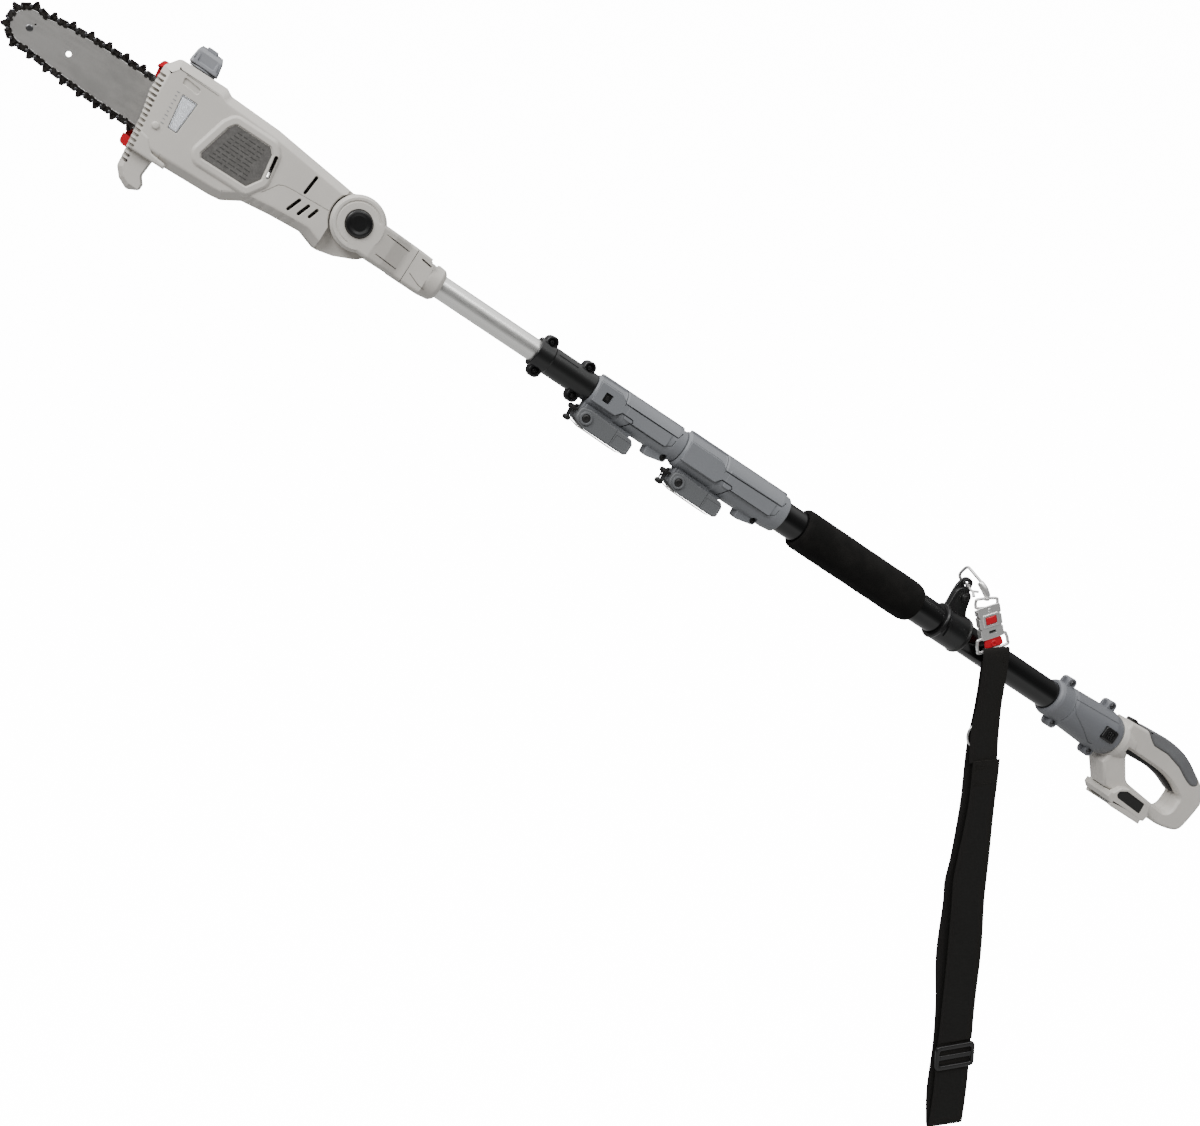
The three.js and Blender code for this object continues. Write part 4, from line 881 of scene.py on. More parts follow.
def head_trim():
    """The oil window, the rating plate with its ruled relief, and the ribbed oil cap."""
    pane = slab(WINDOW, [(-34.0, 1.5), (-33.7, 0.9), (-33.2, 0.5), (-31.6, 0.5)])
    piece(pane, "oil_level_window", "clear", "saw_head", "oil_window")
    rim = trace(RATING)
    piece(slab(rim, [(-34.95, 0.6), (-34.8, 0.4), (-34.1, 0.35)]), "rating_foil", "plate", "saw_head",
          "rating_plate")
    rng = random.Random(7)
    rules = []
    for row in range(9):
        z = 13.5 - 4.1 * row
        x = -829.5 - 1.35 * row
        while x < -803:
            width = rng.uniform(3, 9)
            rules.append(block(x, min(x + width, -801), -35.06, -34.9, z - 0.5, z + 0.5, 0.04))
            x += width + 1.8
    piece(heap(*rules), "rating_rules", "ink", "saw_head")

    cx, cy = CAP_AT
    left, right, deep = cx - 14.4, cx + 14.6, 13.4
    knob = slab(rectangle(left, right, cy - deep, cy + deep, 4),
                [(45.6, 0.6), (46.2, 0), (49, 0.2), (58.5, 1.6), (61.5, 2.8), (63.2, 4.6), (63.8, 7)],
                "XY")
    tab = block(cx - 6, cx + 5, cy - 10, cy + 6, 62, 66, 0.8, 2)
    panel = block(cx - 8.2, cx + 9, cy - 30, cy - deep + 1.6, 48.6, 60.4, 1, 2)
    flutes = [slab(capsule((x, 50), (x + 0.8 * s, 59), 0.9), (cy - 30, cy - deep + 1.4))
              for x, s in ((cx - 11.2, 1), (cx + 12, -1))]
    skirt = lathe([(0, 43.3), (13, 43.3, 0.4), (13, 44.8, 0.4), (9, 44.8), (9, 47), (0, 47)], "Z",
                  (cx, cy, 0))
    stem = rod("Z", 6.7, 34, 44, (cx, cy, 0))
    cap = cut(fuse(knob, tab, skirt, stem), panel, *flutes)
    piece(cap, "oil_filler_cap", "cap", "filler_cap", "oil_cap", crease=38)


def bar_cover():
    """The red cover over the drive sprocket, its nut and its stud."""
    side = trace([
        (-921, 26, 3), (-918, 34, 5), (-852, 34.4), (-838, 31, 8), (-836.6, 12), (-836.6, -36),
        (-838, -46, 8),
        (-852, -48), (-900, -49.6), (-906, -56, 3), (-915.6, -55, 6), (-917, -12)])
    inside = trace([
        (-930, 22), (-912, 29, 2), (-854, 29), (-841, 26, 4), (-840.5, 12), (-840.5, -34), (-842, -43, 4),
        (-855, -44.5), (-897, -46), (-930, -44)])
    cup = slab(side, [(9.3, 0), (27, 0), (32, 0.8), (34.6, 2.4), (35.7, 4.4), (36, 6.4)])
    ribs = [mirrored(slab(capsule((-868 + 7 * k, 18), (-872 + 7 * k, -36), 1.3),
                          [(-38, -0.6), (-36, -0.3), (-34.6, 0.4)]))
            for k in range(4)]
    cup = cut(cup, slab(inside, (5, 32)))
    boss = spun([(3.4, 20), (9, 20), (9, 33), (3.4, 33)], BAR_NUT)
    seat = spun([(0, 31), (11.6, 31, 0.8), (13.4, 37), (0, 37)], BAR_NUT)
    cup = cut(fuse(cup, boss), seat, *ribs, pin(3.4, 0, 60, *BAR_NUT))
    piece(cup, "bar_cover", "red", "saw_head", "sprocket_cover", crease=30)

    washer = spun([(3.3, 31.1), (9.8, 31.1, 0.3), (9.8, 32.4, 0.5), (3.3, 32.4)], BAR_NUT)
    corners = hexagon(*BAR_NUT, 7.4, rounded(32, 38, 0, 0.5))
    nut = cut(fuse(washer, corners), pin(3.3, 0, 60, *BAR_NUT))
    piece(nut, "bar_nut_turned", "bright", "saw_head", "bar_nut", crease=25)
    thread = [(0, 0.6), (3.1, 0.6)]
    for k in range(22):
        y = 6 + 1.3 * k
        thread += [(3.15, y), (2.75, y + 0.65)]
    stud = spun([*thread, (2.6, 35.4, 0.5), (0, 35.4)], BAR_NUT, 32)
    piece(stud, "bar_stud_threaded", "bright", "saw_head", "bar_stud")


# ---- neck ----

def neck_half(side):
    """One cheek of the tilt joint and its half of the sleeve on the pole, drawn for the near side."""
    x, z = PIVOT
    cheek = spun([(0, -24), (28, -24), (28, -33.6, 1.6), (26, -36.2, 1), (25.2, -38, 0.6),
                   (22.6, -38, 0.4), (21.8, -37, 0.3), (21, -37, 0.3), (20.4, -37.8, 0.4), (0, -37.8)],
                   (x, z), 96)
    arm = slab([(-691, -38), (-668, -38, 8), (-652, -33, 12), (-634, -21.4, 12), (-604, -19.8),
                (-604, PARTING),
                       (-655, PARTING), (-655, -24), (-691, -24)], rounded(-19, 20, 4, 4), "XY")
    trim = slab([(-700, 40), (-700, 34), (-675, 27, -664, 21.5), (-604, 18.6), (-586, 16.4), (-580, 16.4),
                        (-580, 60), (-700, 60)], (-60, 60))
    sleeve = lathe([(0, -640), (19.9, -640, 2), (19.9, -602, 8), (18.2, -590, 4), (14.4, -585.9, 2.5),
                    (0, -585.9)],
                   "X", count=96)
    body = fuse(cheek, cut(fuse(arm, sleeve), trim))
    slots = [(-662, -634, 12.6, 0.5), (-662, -636, -9.4, 0.45)]
    tools = [
        block(-760, -560, PARTING, 60, -80, 80), rod("X", 12.7, -642, -560, count=64),
        pin(36.8, -24, 1, x, z, count=96), block(-609, -597, -20, 1, 15.2, 30),
        *[slab(capsule((a, h), (b, h - 1), half), (-60, -17)) for a, b, h, half in slots],
        cut(slab(capsule((-618, 12.6), (-607, 11.2), 0.8), (-60, -8)), rod("X", 17.6, -640, -580)),
        cut(slab(ribbon([(-622, -6), (-608, -11.4), (-600, -12)], 0.7), (-60, -8)),
            rod("X", 19.2, -640, -580)),
        cut(lathe([(18, -626.2), (30, -626.2), (30, -625.5), (18, -625.5)], "X"),
            rod("X", 19.3, -640, -580)),
        pin(14.1, -60, -30, x, z, 64) if side < 0 else pin(7, -60, -37, x, z),
        pin(6.3, -60, -20, x, z) if side < 0 else pin(6.3, -34, -20, x, z),
    ]
    body = cut(body, *tools)
    return body


def neck():
    """The two halves of the neck, the tilt release button and the axle's end."""
    halves(neck_half, "neck", "shell", "inner_stage", "neck_shell", 30)
    button = spun([(0, -40.0), (7.5, -40.3, 2), (10.4, -41.2, 1.4), (12.6, -40.6, 1.4),
                    (13.6, -38.6, 0.8), (13.6, -34.6), (0, -34.6)], PIVOT)
    piece(button, "tilt_release_button", "black", "tilt_release", "tilt_button")
    disc = spun([(0, 36.6), (6.4, 36.6), (6.4, 37.8, 0.5), (0, 38)], PIVOT)
    socket = hexagon(*PIVOT, 3, (36.9, 40))
    piece(cut(disc, socket), "tilt_axle_end", "screw", "inner_stage")


# ---- pole ----

TUBES = {
    "head_tube": (12.4, -638, -428, "alloy", "inner_stage"),
    "inner_tube": (13.9, -424, 240, "tube", "inner_stage"),
    "middle_tube": (16.2, -384, 250, "tube", "middle_stage"),
    "outer_tube": (18.5, -262, 402, "tube", "pole"),
}


def tubes():
    """The bright tube and the three telescoping ones, as drawn tubes with open ends."""
    for node, (r, start, end, kind, body) in TUBES.items():
        shape = lathe([(r - 1.7, start, 0.3), (r, start, 0.5), (r, end, 0.5), (r - 1.7, end, 0.3)],
                      count=112)
        piece(shape, node + "_drawn", kind, body, node)


def screws(name, kind, body, places, y, r=3.3):
    """A piece made of a row of screw heads on the near side."""
    piece(heap(*[screw_head(x, z, y, r) for x, z in places]), name, kind, body)


def coupling():
    """The black two-part clamp between the bright tube and the telescoping tubes."""
    places = [(x, z) for x in (-455.2, -405.8) for z in (17.2, -17.8)]

    def half(_):
        body = lathe([(0, -466), (16.8, -466, 1.4), (16.8, -447.6, 0.8), (16, -446.4, 0.6),
                      (16, -391.6, 1), (0, -391.6)],
                     count=96)
        body = fuse(body, *[slab(capsule((x, z), (x, z * 0.5), 7.1, 12), rounded(-8, 8, 1.6, steps=4))
                            for x, z in places])
        tools = [
            rod("X", 12.8, -480, -426), rod("X", 14.2, -426.5, -380),
            block(-500, -350, PARTING, 60, -60, 60),
            *[spun([(0, -60), (4.6, -60), (4.6, -8.2), (4.2, -6, 0.5), (4.2, -4.2), (1.9, -4.2),
                     (1.9, 10), (0, 10)], (x, z), 36) for x, z in places],
            cut(slab(ribbon([(-443, 10.2), (-418, 10.2)], 0.7), (-60, 0)), rod("X", 15.5, -480, -380)),
        ]
        return cut(body, *tools)

    halves(half, "coupling_clamp", "black", "inner_stage", "coupling")
    screws("coupling_screws", "dark", "inner_stage", places, -4.2)


LOCKS = {
    "lock_1": dict(front=-391, rear=-270, step=-352, r=20, bolt=(-382, -30), end=10.5, bore=(16.5, 14.2),
                   screw=(-281.5, -19.4),
                   body="middle_stage", flip="lock_1_flip", window=True),
    "lock_2": dict(front=-269.4, rear=-122, step=-214, r=23.5, bolt=(-253, -33), end=10,
                   bore=(18.8, 16.5), screw=(-149, -22.4),
                   body="pole", flip="lock_2_flip", window=False),
}
LEVER = 61  # reach of a lever from its bolt


def skin_line(points, width, radius, start, end):
    """A cutter for a shallow groove along points on the near side of a round collar."""
    line = slab(ribbon(points, width), (-60, -2))
    return cut(line, rod("X", radius - 1.1, start - 20, end + 20, count=96))


def lock_collar(name, front, rear, step, r, bolt, bore, screw, body, window, **_):
    """A clamping collar: a stepped sleeve with an ear for the lever and a screw boss."""
    bx, bz = bolt
    kx, kz = screw
    top = r - 1.4
    shell = lathe([(0, front), (r - 3.6, front, 1), (r - 1.9, front + 3.4, 1.2), (r - 1.6, step - 4, 1),
                   (r, step, 1.6), (r, rear - 12, 4), (r - 1.3, rear, 1.4), (0, rear)], count=112)
    waist = slab([(step + 4, r * 0.42, 2), (step + 4, -r * 0.42, 2), (rear - 20, -r * 0.42, 2),
                  (rear - 20, r * 0.42, 2)],
                 rounded(-r - 0.9, r + 0.9, 0.7, steps=3))
    panel = slab([(front + 2, -10.6, 1), (step - 6, -10.6, 3), (step + 1, -4, 3), (step + 15, -4, 1),
                  (step + 15, 6.6, 1),
                         (step - 1, 6.6, 3), (step - 8, 13, 3), (front + 2, 13, 1)],
                         rounded(-r - 0.6, 0, 0.6, 0, 3))
    ear = slab([(bx - 7.6, bz - 5, 3), (bx + 5, bz - 6.5, 3), (bx + 9, bz + 1, 4), (bx + 24, -r + 4),
                (bx - 8.4, -r + 6)],
               rounded(-7.3, 7.3, 1, steps=3))
    spine = slab([(front + 3, r - 6), (front + 3, r + 0.6, 2), (rear - 5, r + 1.3, 3), (rear - 5, r - 6)],
                 rounded(-3.6, 3.6, 1, steps=3))
    boss = slab([(kx - 23, 4 - r), (kx - 22, kz - 8, 2.4), (kx - 17, kz - 9, 3), (kx + 4, kz - 4.6, 4),
                 (kx + 5, 4 - r)],
                rounded(-9, 9, 1.3, steps=4))
    skirt = slab([(bx - 5, 4 - r), (bx - 5, bz + 5.6, 3), (bx + LEVER - 9, bz + 2.6, 4),
                  (bx + LEVER - 4, 4 - r)],
                 rounded(-8.8, 8.8, 0.8, steps=3))
    collar = fuse(shell, waist, panel, ear, spine, boss, skirt)

    upper = [(front + 3, 13), (step - 9, 13), (step - 1, 6.4), (rear - 12, 7 if window else 8),
             (rear - 8, 14)]
    lower = [(front + 2, -11.2), (step - 6, -11.2), (step, -4.2), (step + 14, -4.4), (step + 15.6, -7),
             (step + 9, -r * 0.9)]
    inner = [(step + 13, -9), (rear - 22, -9), (rear - 14, -4), (rear - 13, 3)]
    tools = [
        rod("X", bore[1], front - 6, rear + 6, count=96),
        rod("X", bore[0], front + 7, rear + 6, count=96),
        block(front - 2, front + 52, -0.9, 0.9, -r - 12, -bore[1] + 2), pin(2.3, -30, 30, bx, bz),
        skin_line(upper, 1.5, top + 0.5, front, rear), skin_line(lower, 1.5, top + 0.5, front, rear),
        skin_line(inner, 1.0, top + 1.3, front, rear),
        cut(lathe([(10, step - 2.6), (40, step - 2.6), (40, step - 1.9), (10, step - 1.9)], count=96),
            rod("X", top - 0.7, step - 20, step + 20, count=96),
            block(step - 30, step + 30, -60, 60, -60, 4)),
        spun([(0, -30), (4.4, -30), (4, -8.4, 0.4), (4, -6.4), (0, -6.4)], (kx, kz), 40),
    ]
    if window:
        tools.append(block(front + 11.4, front + 20.8, -60, -14, -4.9, 5.5, 0, 1.2))
    collar = cut(collar, *tools)
    piece(collar, name + "_collar_moulded", "lock", body, name + "_collar", crease=30)
    if window:
        catch = block(front + 12, front + 20.2, -17.4, -14.4, -4.2, 4.8, 0.5, 1)
        nub = block(front + 14.2, front + 18, -18.6, -16.6, -2.4, 3, 0.5, 1)
        piece(fuse(catch, nub), name + "_catch", "dark", body)
    piece(screw_head(kx, kz, -6.4, 3.6), name + "_screw", "dark", body, name + "_boss_screw")


def lock_lever(name, bolt, end, r, flip, body, **_):
    """A collar's lever with its spring strip, its bolt and the band's tension nuts."""
    bx, bz = bolt
    side = slab([
        (bx - end, bz - end * 0.55, 6), (bx - end, bz + end * 0.8, 6), (bx + 2, bz + 11, 4),
        (bx + LEVER - 4, bz + 7.8, 4), (bx + LEVER, bz + 3, 3), (bx + LEVER, bz - 9, 3),
        (bx + LEVER - 4, bz - 11.4, 3),
        (bx + 4, bz - 11, 8)], rounded(-16, 16, 1.6, steps=4))
    palm = slab([(bx - 30, bz - 8.6), (bx + LEVER - 7, bz - 8.6, 3), (bx + LEVER - 4, bz + 30),
                 (bx - 30, bz + 30)],
                (-9.5, 9.5))
    lever = cut(side, palm)
    ring = both(lambda s: spun([(3.4, s * 15), (7.6, s * 15), (7.2, s * 18, 0.8), (5, s * 18, 0.5),
                                 (4.6, s * 16.2), (3.4, s * 16)], bolt))
    lever = fuse(lever, ring)
    step = bx + 37
    tools = [
        rod("X", r + 1.3, bx - 40, bx + LEVER + 30, count=96), pin(2.7, -30, 30, bx, bz),
        block(bx - end - 2, bx + 5, -9.5, 9.5, bz - 20, bz + 20),
        both(lambda s: block(step, step + 0.8, s * 16.3 - 1, s * 16.3 + 1, bz - 12.5, bz + 9, 0)),
        both(lambda s: block(step + 2, bx + LEVER - 3, s * 16.6 - 1, s * 16.6 + 1, bz - 8, bz + 3.6, 0.3,
                             2)),
    ]
    lever = cut(lever, *tools)
    piece(lever, name + "_lever_moulded", "lever", flip, name + "_lever", crease=30)

    bow = [(bx - 8, bz - 9.6), (bx + 4, bz - 12.6, 8), (bx + LEVER - 12, bz - 13.4, 6),
           (bx + LEVER - 7, bz - 11.6),
           (bx + LEVER - 12, bz - 12, 6), (bx + 4, bz - 11.2, 8), (bx - 7, bz - 8.8)]
    strip = both(lambda s: slab(trace(bow), rounded(s * 11.2 - 1.2, s * 11.2 + 1.2, 0.3, steps=2)))
    piece(strip, name + "_spring_strip", "bright", flip)
    head = spun([(0, -17.6), (2.6, -18, 0.6), (4.4, -17.2, 0.5), (4.4, -16.4), (0, -16.4)], bolt)
    nut = hexagon(bx, bz, 4.4, rounded(16.4, 19.2, 0, 0.5))
    piece(heap(cut(head, hexagon(bx, bz, 2.1, (-20, -17.4))), nut, pin(2, -16.3, 16.3, bx, bz)),
                 name + "_bolt", "dark", body, name + "_lever_bolt")

    # The tension screw of the band: two knurled nuts on a stirrup in front of the lever.
    knobs = [(bx - 16, bz + 3), (bx - 14.6, bz - 9.8)]
    profile = [(0, -6.6), (3.0, -6.6, 0.5), (3.0, -4.4), (2.2, -4.2), (2.2, -2.6), (3.2, -2.4, 0.4),
               (3.2, 2.4, 0.4), (2.2, 2.6), (2.2, 4.2), (3.0, 4.4), (3.0, 6.6, 0.5), (0, 6.6)]
    parts = [spun(profile, (x, z), 18) for x, z in knobs]
    link = [slab(capsule(knobs[0], knobs[1], 1.0, 6), rounded(s * 3.5 - 0.5, s * 3.5 + 0.5, 0.2, steps=2))
            for s in (-1, 1)]
    arms = [slab(capsule((bx - 4, bz + 4), knobs[0], 1.4, 6),
                 rounded(s * 8.3 - 0.7, s * 8.3 + 0.7, 0.3, steps=2)) for s in (-1, 1)]
    piece(heap(*parts, *link, *arms, pin(1.3, -8.6, 8.6, *knobs[0], count=16)), name + "_tension_nuts",
          "dark", body)


def foam_grip():
    """The foam sleeve, a little uneven where it was pushed on, its ends rolled."""
    r = 25
    rng = random.Random(3)
    swell = [rng.uniform(-0.22, 0.12) for _ in range(12)]
    profile = [(18.8, -92, 0.5), (r - 2.4, -92, 1.4), (r - 0.7, -90, 1.8), (r, -86, 2)]
    profile += [(r + swell[k], -78 + 13.6 * k, 6) for k in range(12)]
    profile += [(r - 0.2, 82, 6), (r - 2.2, 90, 5), (r - 6, 92, 1), (18.8, 92)]
    grip = lathe(profile, count=128)
    piece(grip, "foam_sleeve", "foam", "pole", "foam_grip", crease=60)


def strap_clamp():
    """The band round the pole that carries the eye for the snap hook, and its screw."""
    start, end, r = 128.6, 171, 23
    bx, bz = CLAMP_BOLT
    band = lathe([(0, start), (r - 0.4, start, 0.8), (r + 0.6, start + 2.6, 1), (r - 0.6, start + 5, 1),
                  (r - 0.6, end - 5, 1),
                  (r + 0.6, end - 2.6, 1), (r - 0.4, end, 0.8), (0, end)], count=112)
    eye_plate = [(129.5, 14), (127, 40), (126, 50, 128.5, 57), (131, 64, 138, 64), (146, 64, 146.5, 56),
                 (150, 44, 154, 32), (156, 22, 166, 16)]
    bolt_plate = [(129.5, 14), (128, 40), (128.5, 50.5, 137, 50.5), (150, 50, 151, 43), (154, 32),
                  (158, 22, 168, 15)]
    far = slab(trace(eye_plate), rounded(-0.6, 3.4, 1.2, steps=4))
    near = slab(trace(bolt_plate), rounded(-6.6, -0.4, 1.4, 0, 4))
    ridge = slab(ribbon([(131, 46), (131.6, 22), (136, 4), (139, -12)], 2.2), (-60, -2))
    ridge = common(ridge, rod("X", r + 1.4, start, end, count=96))
    pad = spun([(0, -8.6), (5.6, -8.6, 0.8), (6.2, -6), (6.2, -3), (0, -3)], CLAMP_BOLT, 48)
    clamp = fuse(band, near, far, pad, ridge, block(start + 3, end - 3, -3, 3, 15, r + 0.5))
    collar_eye = spun([(3.9, -2.6), (6.6, -2.6, 0.9), (6.6, 4.4, 0.9), (3.9, 4.4)], EYE, 48)
    clamp = fuse(cut(clamp, pin(3.95, -40, 40, *EYE)), collar_eye)
    clamp = cut(clamp, rod("X", 18.8, 110, 190, count=96), pin(2.4, -40, 40, bx, bz),
                spun([(0, -20), (4.6, -20), (4.6, -7.2), (0, -7.2)], CLAMP_BOLT, 40))
    piece(clamp, "strap_clamp_moulded", "black", "pole", "strap_clamp", crease=30)
    nut = hexagon(bx, bz, 4.2, rounded(3.7, 7, 0, 0.5))
    piece(heap(screw_head(bx, bz, -7.4, 4.3), nut), "strap_clamp_screw", "dark", "pole", "clamp_screw")


# ---- handle ----

def connector():
    """The grey two-part joint between the pole and the handle, its screws and its release."""
    places = [(342, 28.2), (413, 32.6), (351, -26.6), (422, -31)]

    def half(side):
        body = lathe([(0, 327), (21.6, 327, 0.8), (23.4, 329.6, 1.2), (24.4, 333, 1), (24.4, 350, 4),
                      (25.9, 356, 3), (28.6, 410, 4),
                      (29.4, 424, 5), (26.6, 441, 6), (0, 441)], count=112)
        lugs = [fuse(slab(capsule((x, z), (x, math.copysign(17, z)), 6.6, 12),
                          rounded(-8.6, 8.6, 1, steps=3)),
                     block(x - 11, x + 9.6, -1.8, 1.8, min(z, 0) + (-3.4 if z < 0 else 17),
                           max(z, 0) + (3.4 if z > 0 else -17), 0.4))
                for x, z in places]
        body = fuse(body, *lugs)
        grooves = [
            [(352, 14.5), (424, 18.5)], [(351, 9), (358, -1), (404, -21.6), (410, -21)],
            [(352, 18), (352, -18)],
        ] if side < 0 else [[(352, 14.5), (424, 18.5)], [(352, -12), (424, -16)]]
        tools = [
            rod("X", 18.8, 320, 402.4, count=96), rod("X", 15.2, 400, 460, count=64),
            block(300, 470, PARTING, 60, -60, 60),
            *[spun([(0, -60), (4.2, -60), (3.9, -7.4), (1.9, -7.4), (1.9, 9), (0, 9)], (x, z), 36)
              for x, z in places],
            *[cut(slab(ribbon(line, 0.8), (-60, -4)),
                  lathe([(0, 320), (23.8, 320), (23.8, 351), (25.3, 356), (28, 410), (28.8, 424),
                         (0, 424)], count=96))
              for line in grooves],
        ]
        if side < 0:
            tools.append(block(406.1, 427.9, -60, -10, -8.6, 8.6, 0, 3))
        return cut(body, *tools)

    halves(half, "connector_shell", "joint", "pole", "connector")
    screws("connector_screws", "screw", "pole", places, -7.4, 3.2)
    key = block(406.4, 427.6, -31.2, -19, -8.3, 8.3, 1.4, 3.4)
    dish = slab(rectangle(411, 423, -5.2, 5.2, 2.4), [(-33, -1.4), (-31.2, -0.6), (-29.6, 0)])
    ridge = [block(412.6 + 3.4 * k, 414.2 + 3.4 * k, -31, -28, -4.4, 4.4, 0.4, 0.6) for k in range(3)]
    piece(fuse(cut(key, dish), *ridge), "pole_release_key", "black", "pole_release", "release_button")


HANDLE = [
    (447, 31), (487, 33.5), (500, 36.5, 516, 36), (545, 35, 569, 26), (590, 17, 602, 10.6),
    (614, 3, 615, -10),
    (615, -24, 611, -45), (609, -54, 601, -56.5), (588, -61, 571, -62), (559, -61.6), (545, -57),
    (467, -57), (443, -33),
]
HAND_HOLE = [
    (460, -3.4), (465, -4.4, 469, -9), (480, -22, 490, -33), (495, -38, 506, -38.5), (566, -44),
    (579, -44, 580, -32),
    (580, -20), (579, -15, 572, -14), (553, -3.4, 527, -1.6), (498, -0.6, 460, -1.2),
]
GRIP = [
    (475, 34), (485, 25.6, 496, 21.2), (521, 21.8), (549, 16.2), (568, 7.8, 576, 5.8), (585, 3, 590, 9),
    (589.4, 13.6, 583, 17.4), (567, 28, 545, 34), (520, 39.6, 492, 37), (484, 36.4, 475, 34),
]


def handle():
    """The D handle's two halves, its soft grip, its trigger and its lock-off button."""
    def half(_):
        body = slab(HANDLE, rounded(-17.5, PARTING, 4.4, 0, 6))
        throat = lathe([(0, 441.4), (26, 441.4, 1), (26.4, 450, 6), (21, 470, 8), (12, 480), (0, 480)],
                       count=96)
        body = cut(fuse(body, throat), block(400, 640, PARTING, 60, -90, 70))
        hand_hole = slab(HAND_HOLE, [(-40, -3.4), (-17.3, -3.2), (-16, -1.6), (-14, -0.5), (-12, 0),
                                     (5, 0)])
        trigger_way = slab([(466, -9), (466, 14), (545, 14), (572, 4), (580, -6), (580, -24), (520, -14)],
                           (-7.4, 5))
        room = slab([(450, 12), (457, 8), (458, -6), (464, -12), (485, -36), (489, -51), (473, -51),
                     (450, -32)],
                    (-14.4, 5))
        seam = slab(GRIP, [(-19, -1), (-17.2, -0.6), (-15.6, -0.5), (5, -0.5)])
        grip_way = cut(seam, slab(HANDLE, (-15.2, 6)))
        tools = [hand_hole, trigger_way, room, grip_way, rod("X", 15.2, 436, 455),
                 block(450.6, 467.4, -6.8, 5, 18, 60),
                 slab(ribbon([(562, -63), (566, -44)], 0.5), (-30, -17.1))]
        return cut(body, *tools)

    halves(half, "handle_shell", "shell", "pole", "handle", 30)

    saddle = slab(GRIP, rounded(-18.7, 18.7, 3, steps=6))
    core = slab(HANDLE, [(-14.6, -0.2), (14.6, -0.2)])
    piece(cut(saddle, core), "soft_grip_moulded", "grip", "pole", "soft_grip", crease=34)

    blade = slab([(468, -1), (474, -8, 3), (494, -6.4, 515, -5.6), (540, -6, 560, -14),
                  (571, -18, 574, -13),
                         (560, -6, 545, -1), (520, 2.4), (471, 1.6)], rounded(-6.6, 6.6, 2.2, steps=4))
    piece(blade, "trigger_blade_moulded", "dark", "trigger_blade", "trigger")
    key = slab([(452, 20), (466, 20), (466, 33.6, 2), (461, 36.4, 2), (453, 35.4, 2)],
               rounded(-6.1, 6.1, 1, steps=3))
    piece(key, "lock_off_key", "dark", "lock_off", "lock_off_button")


def battery_dock():
    """The open battery seat under the handle: deck, wings, rails, contacts and inset panels."""
    deck = slab([(472, -65), (472, -57.6, 1.5), (544, -57.6, 1.5), (541.6, -68, 1.5), (534, -70, 1),
                 (479, -70, 1)],
                rounded(-27, 27, 1.4, steps=4))
    frame = trace([(473.4, -61, 2), (483, -47, 3), (494, -42.4, 4), (528, -45.5, 3), (537, -47, 3),
                   (542.4, -60, 2)])
    window = trace([(482, -57, 2), (482.6, -52, 3), (493.4, -46.4, 3), (527.6, -48.2, 2),
                    (529.4, -62.6, 2), (486, -60.4, 2)])
    wings = [slab(frame, rounded(s * 17.8, s * 27, 0.2, 1.6, 4))
             for s in (-1, 1)]
    rails = [slab(rectangle(482, 537, -74, -66, 0.6), rounded(s * 21, s * 27, 0.8, steps=3))
             for s in (-1, 1)]
    shell = fuse(deck, *wings, *rails)
    tools = [block(480, 560, -20.8, 20.8, -80, -66.5),
             *[block(486, 560, s * 19, s * 24.4, -71.8, -69.8) for s in (-1, 1)],
             *[slab(window, (s * 26, s * 30)) for s in (-1, 1)]]
    shell = cut(shell, *tools)
    piece(shell, "battery_dock_moulded", "shell", "pole", "battery_dock", crease=30)
    insets = [slab(window, [(s * 25.9, 0.3), (s * 26.5, 0.3)]) for s in (-1, 1)]
    piece(heap(*insets), "handle_inset_panels", "dark", "pole")
    base = slab(rectangle(488, 526, -12, 12, 2), [(-69.8, 0.6), (-69.2, 0), (-66.8, 0)], "XY")
    piece(base, "terminal_housing", "dark", "pole", "terminal_block")
    blades = [block(492, 522, y - 0.5, y + 0.5, -73.4, -69.4, 0.2) for y in (-8, -2.7, 2.7, 8)]
    piece(heap(*blades), "terminal_blades", "bright", "pole")
    strips = [block(484, 536.4, s * 24.8, s * 27.2, -74.4, -73.9, 0.1) for s in (-1, 1)]
    strips += [block(537.1, 537.5, s * 21.6, s * 26.6, -73.6, -71.6, 0.1) for s in (-1, 1)]
    piece(heap(*strips), "rail_strips", "bright", "pole")


# ---- shoulder strap ----

def snap_hook():
    """The carabiner: a bent arm with a swivel barrel, and the sprung gate with its thumb tab."""
    bend = [(-1, -8.4, -0.3), (-0.8, -3, 0), (-0.6, 4, 0.2), (-2.4, 8.4, 2.8), (-4.2, 9.2, 7.4),
            (-4.2, 8, 11.6), (-1.6, 2.4, 18.8),
            (0, -1, 20.8), (1.4, -4.6, 19.2), (4.2, -13, 13.4), (6.6, -21.6, 8)]
    arm = sweep([(EYE_X + x, y, EYE_Z + z) for x, y, z in bend], 1.9)
    barrel = sweep([(EYE_X + 4.6, -22.6, EYE_Z + 8), (EYE_X + 8.6, -27, EYE_Z + 0.4),
                    (HANG_X + 1, HANG_Y, EYE_Z - 9)],
                   lambda t: 3.2 + 1.2 * math.sin(math.pi * t) ** 0.5, count=24)
    piece(fuse(arm, barrel), "snap_hook_cast", "bright", "hook", "snap_hook", matrix=HERE)
    gate = sweep([(EYE_X + x, y, EYE_Z + z) for x, y, z in [(-2, -11.4, -1.8), (-1.2, -16, -4.4),
                                                            (3.4, -23, -4)]], 1.5)
    thumb = sweep([(EYE_X + x, y, EYE_Z + z) for x, y, z in [(-1, -18, -4.6), (-2, -22.4, -9.6)]],
                  lambda t: 1.4 + 0.6 * t)
    piece(fuse(gate, thumb), "hook_gate_wire", "bright", "gate", "hook_gate", matrix=HERE)


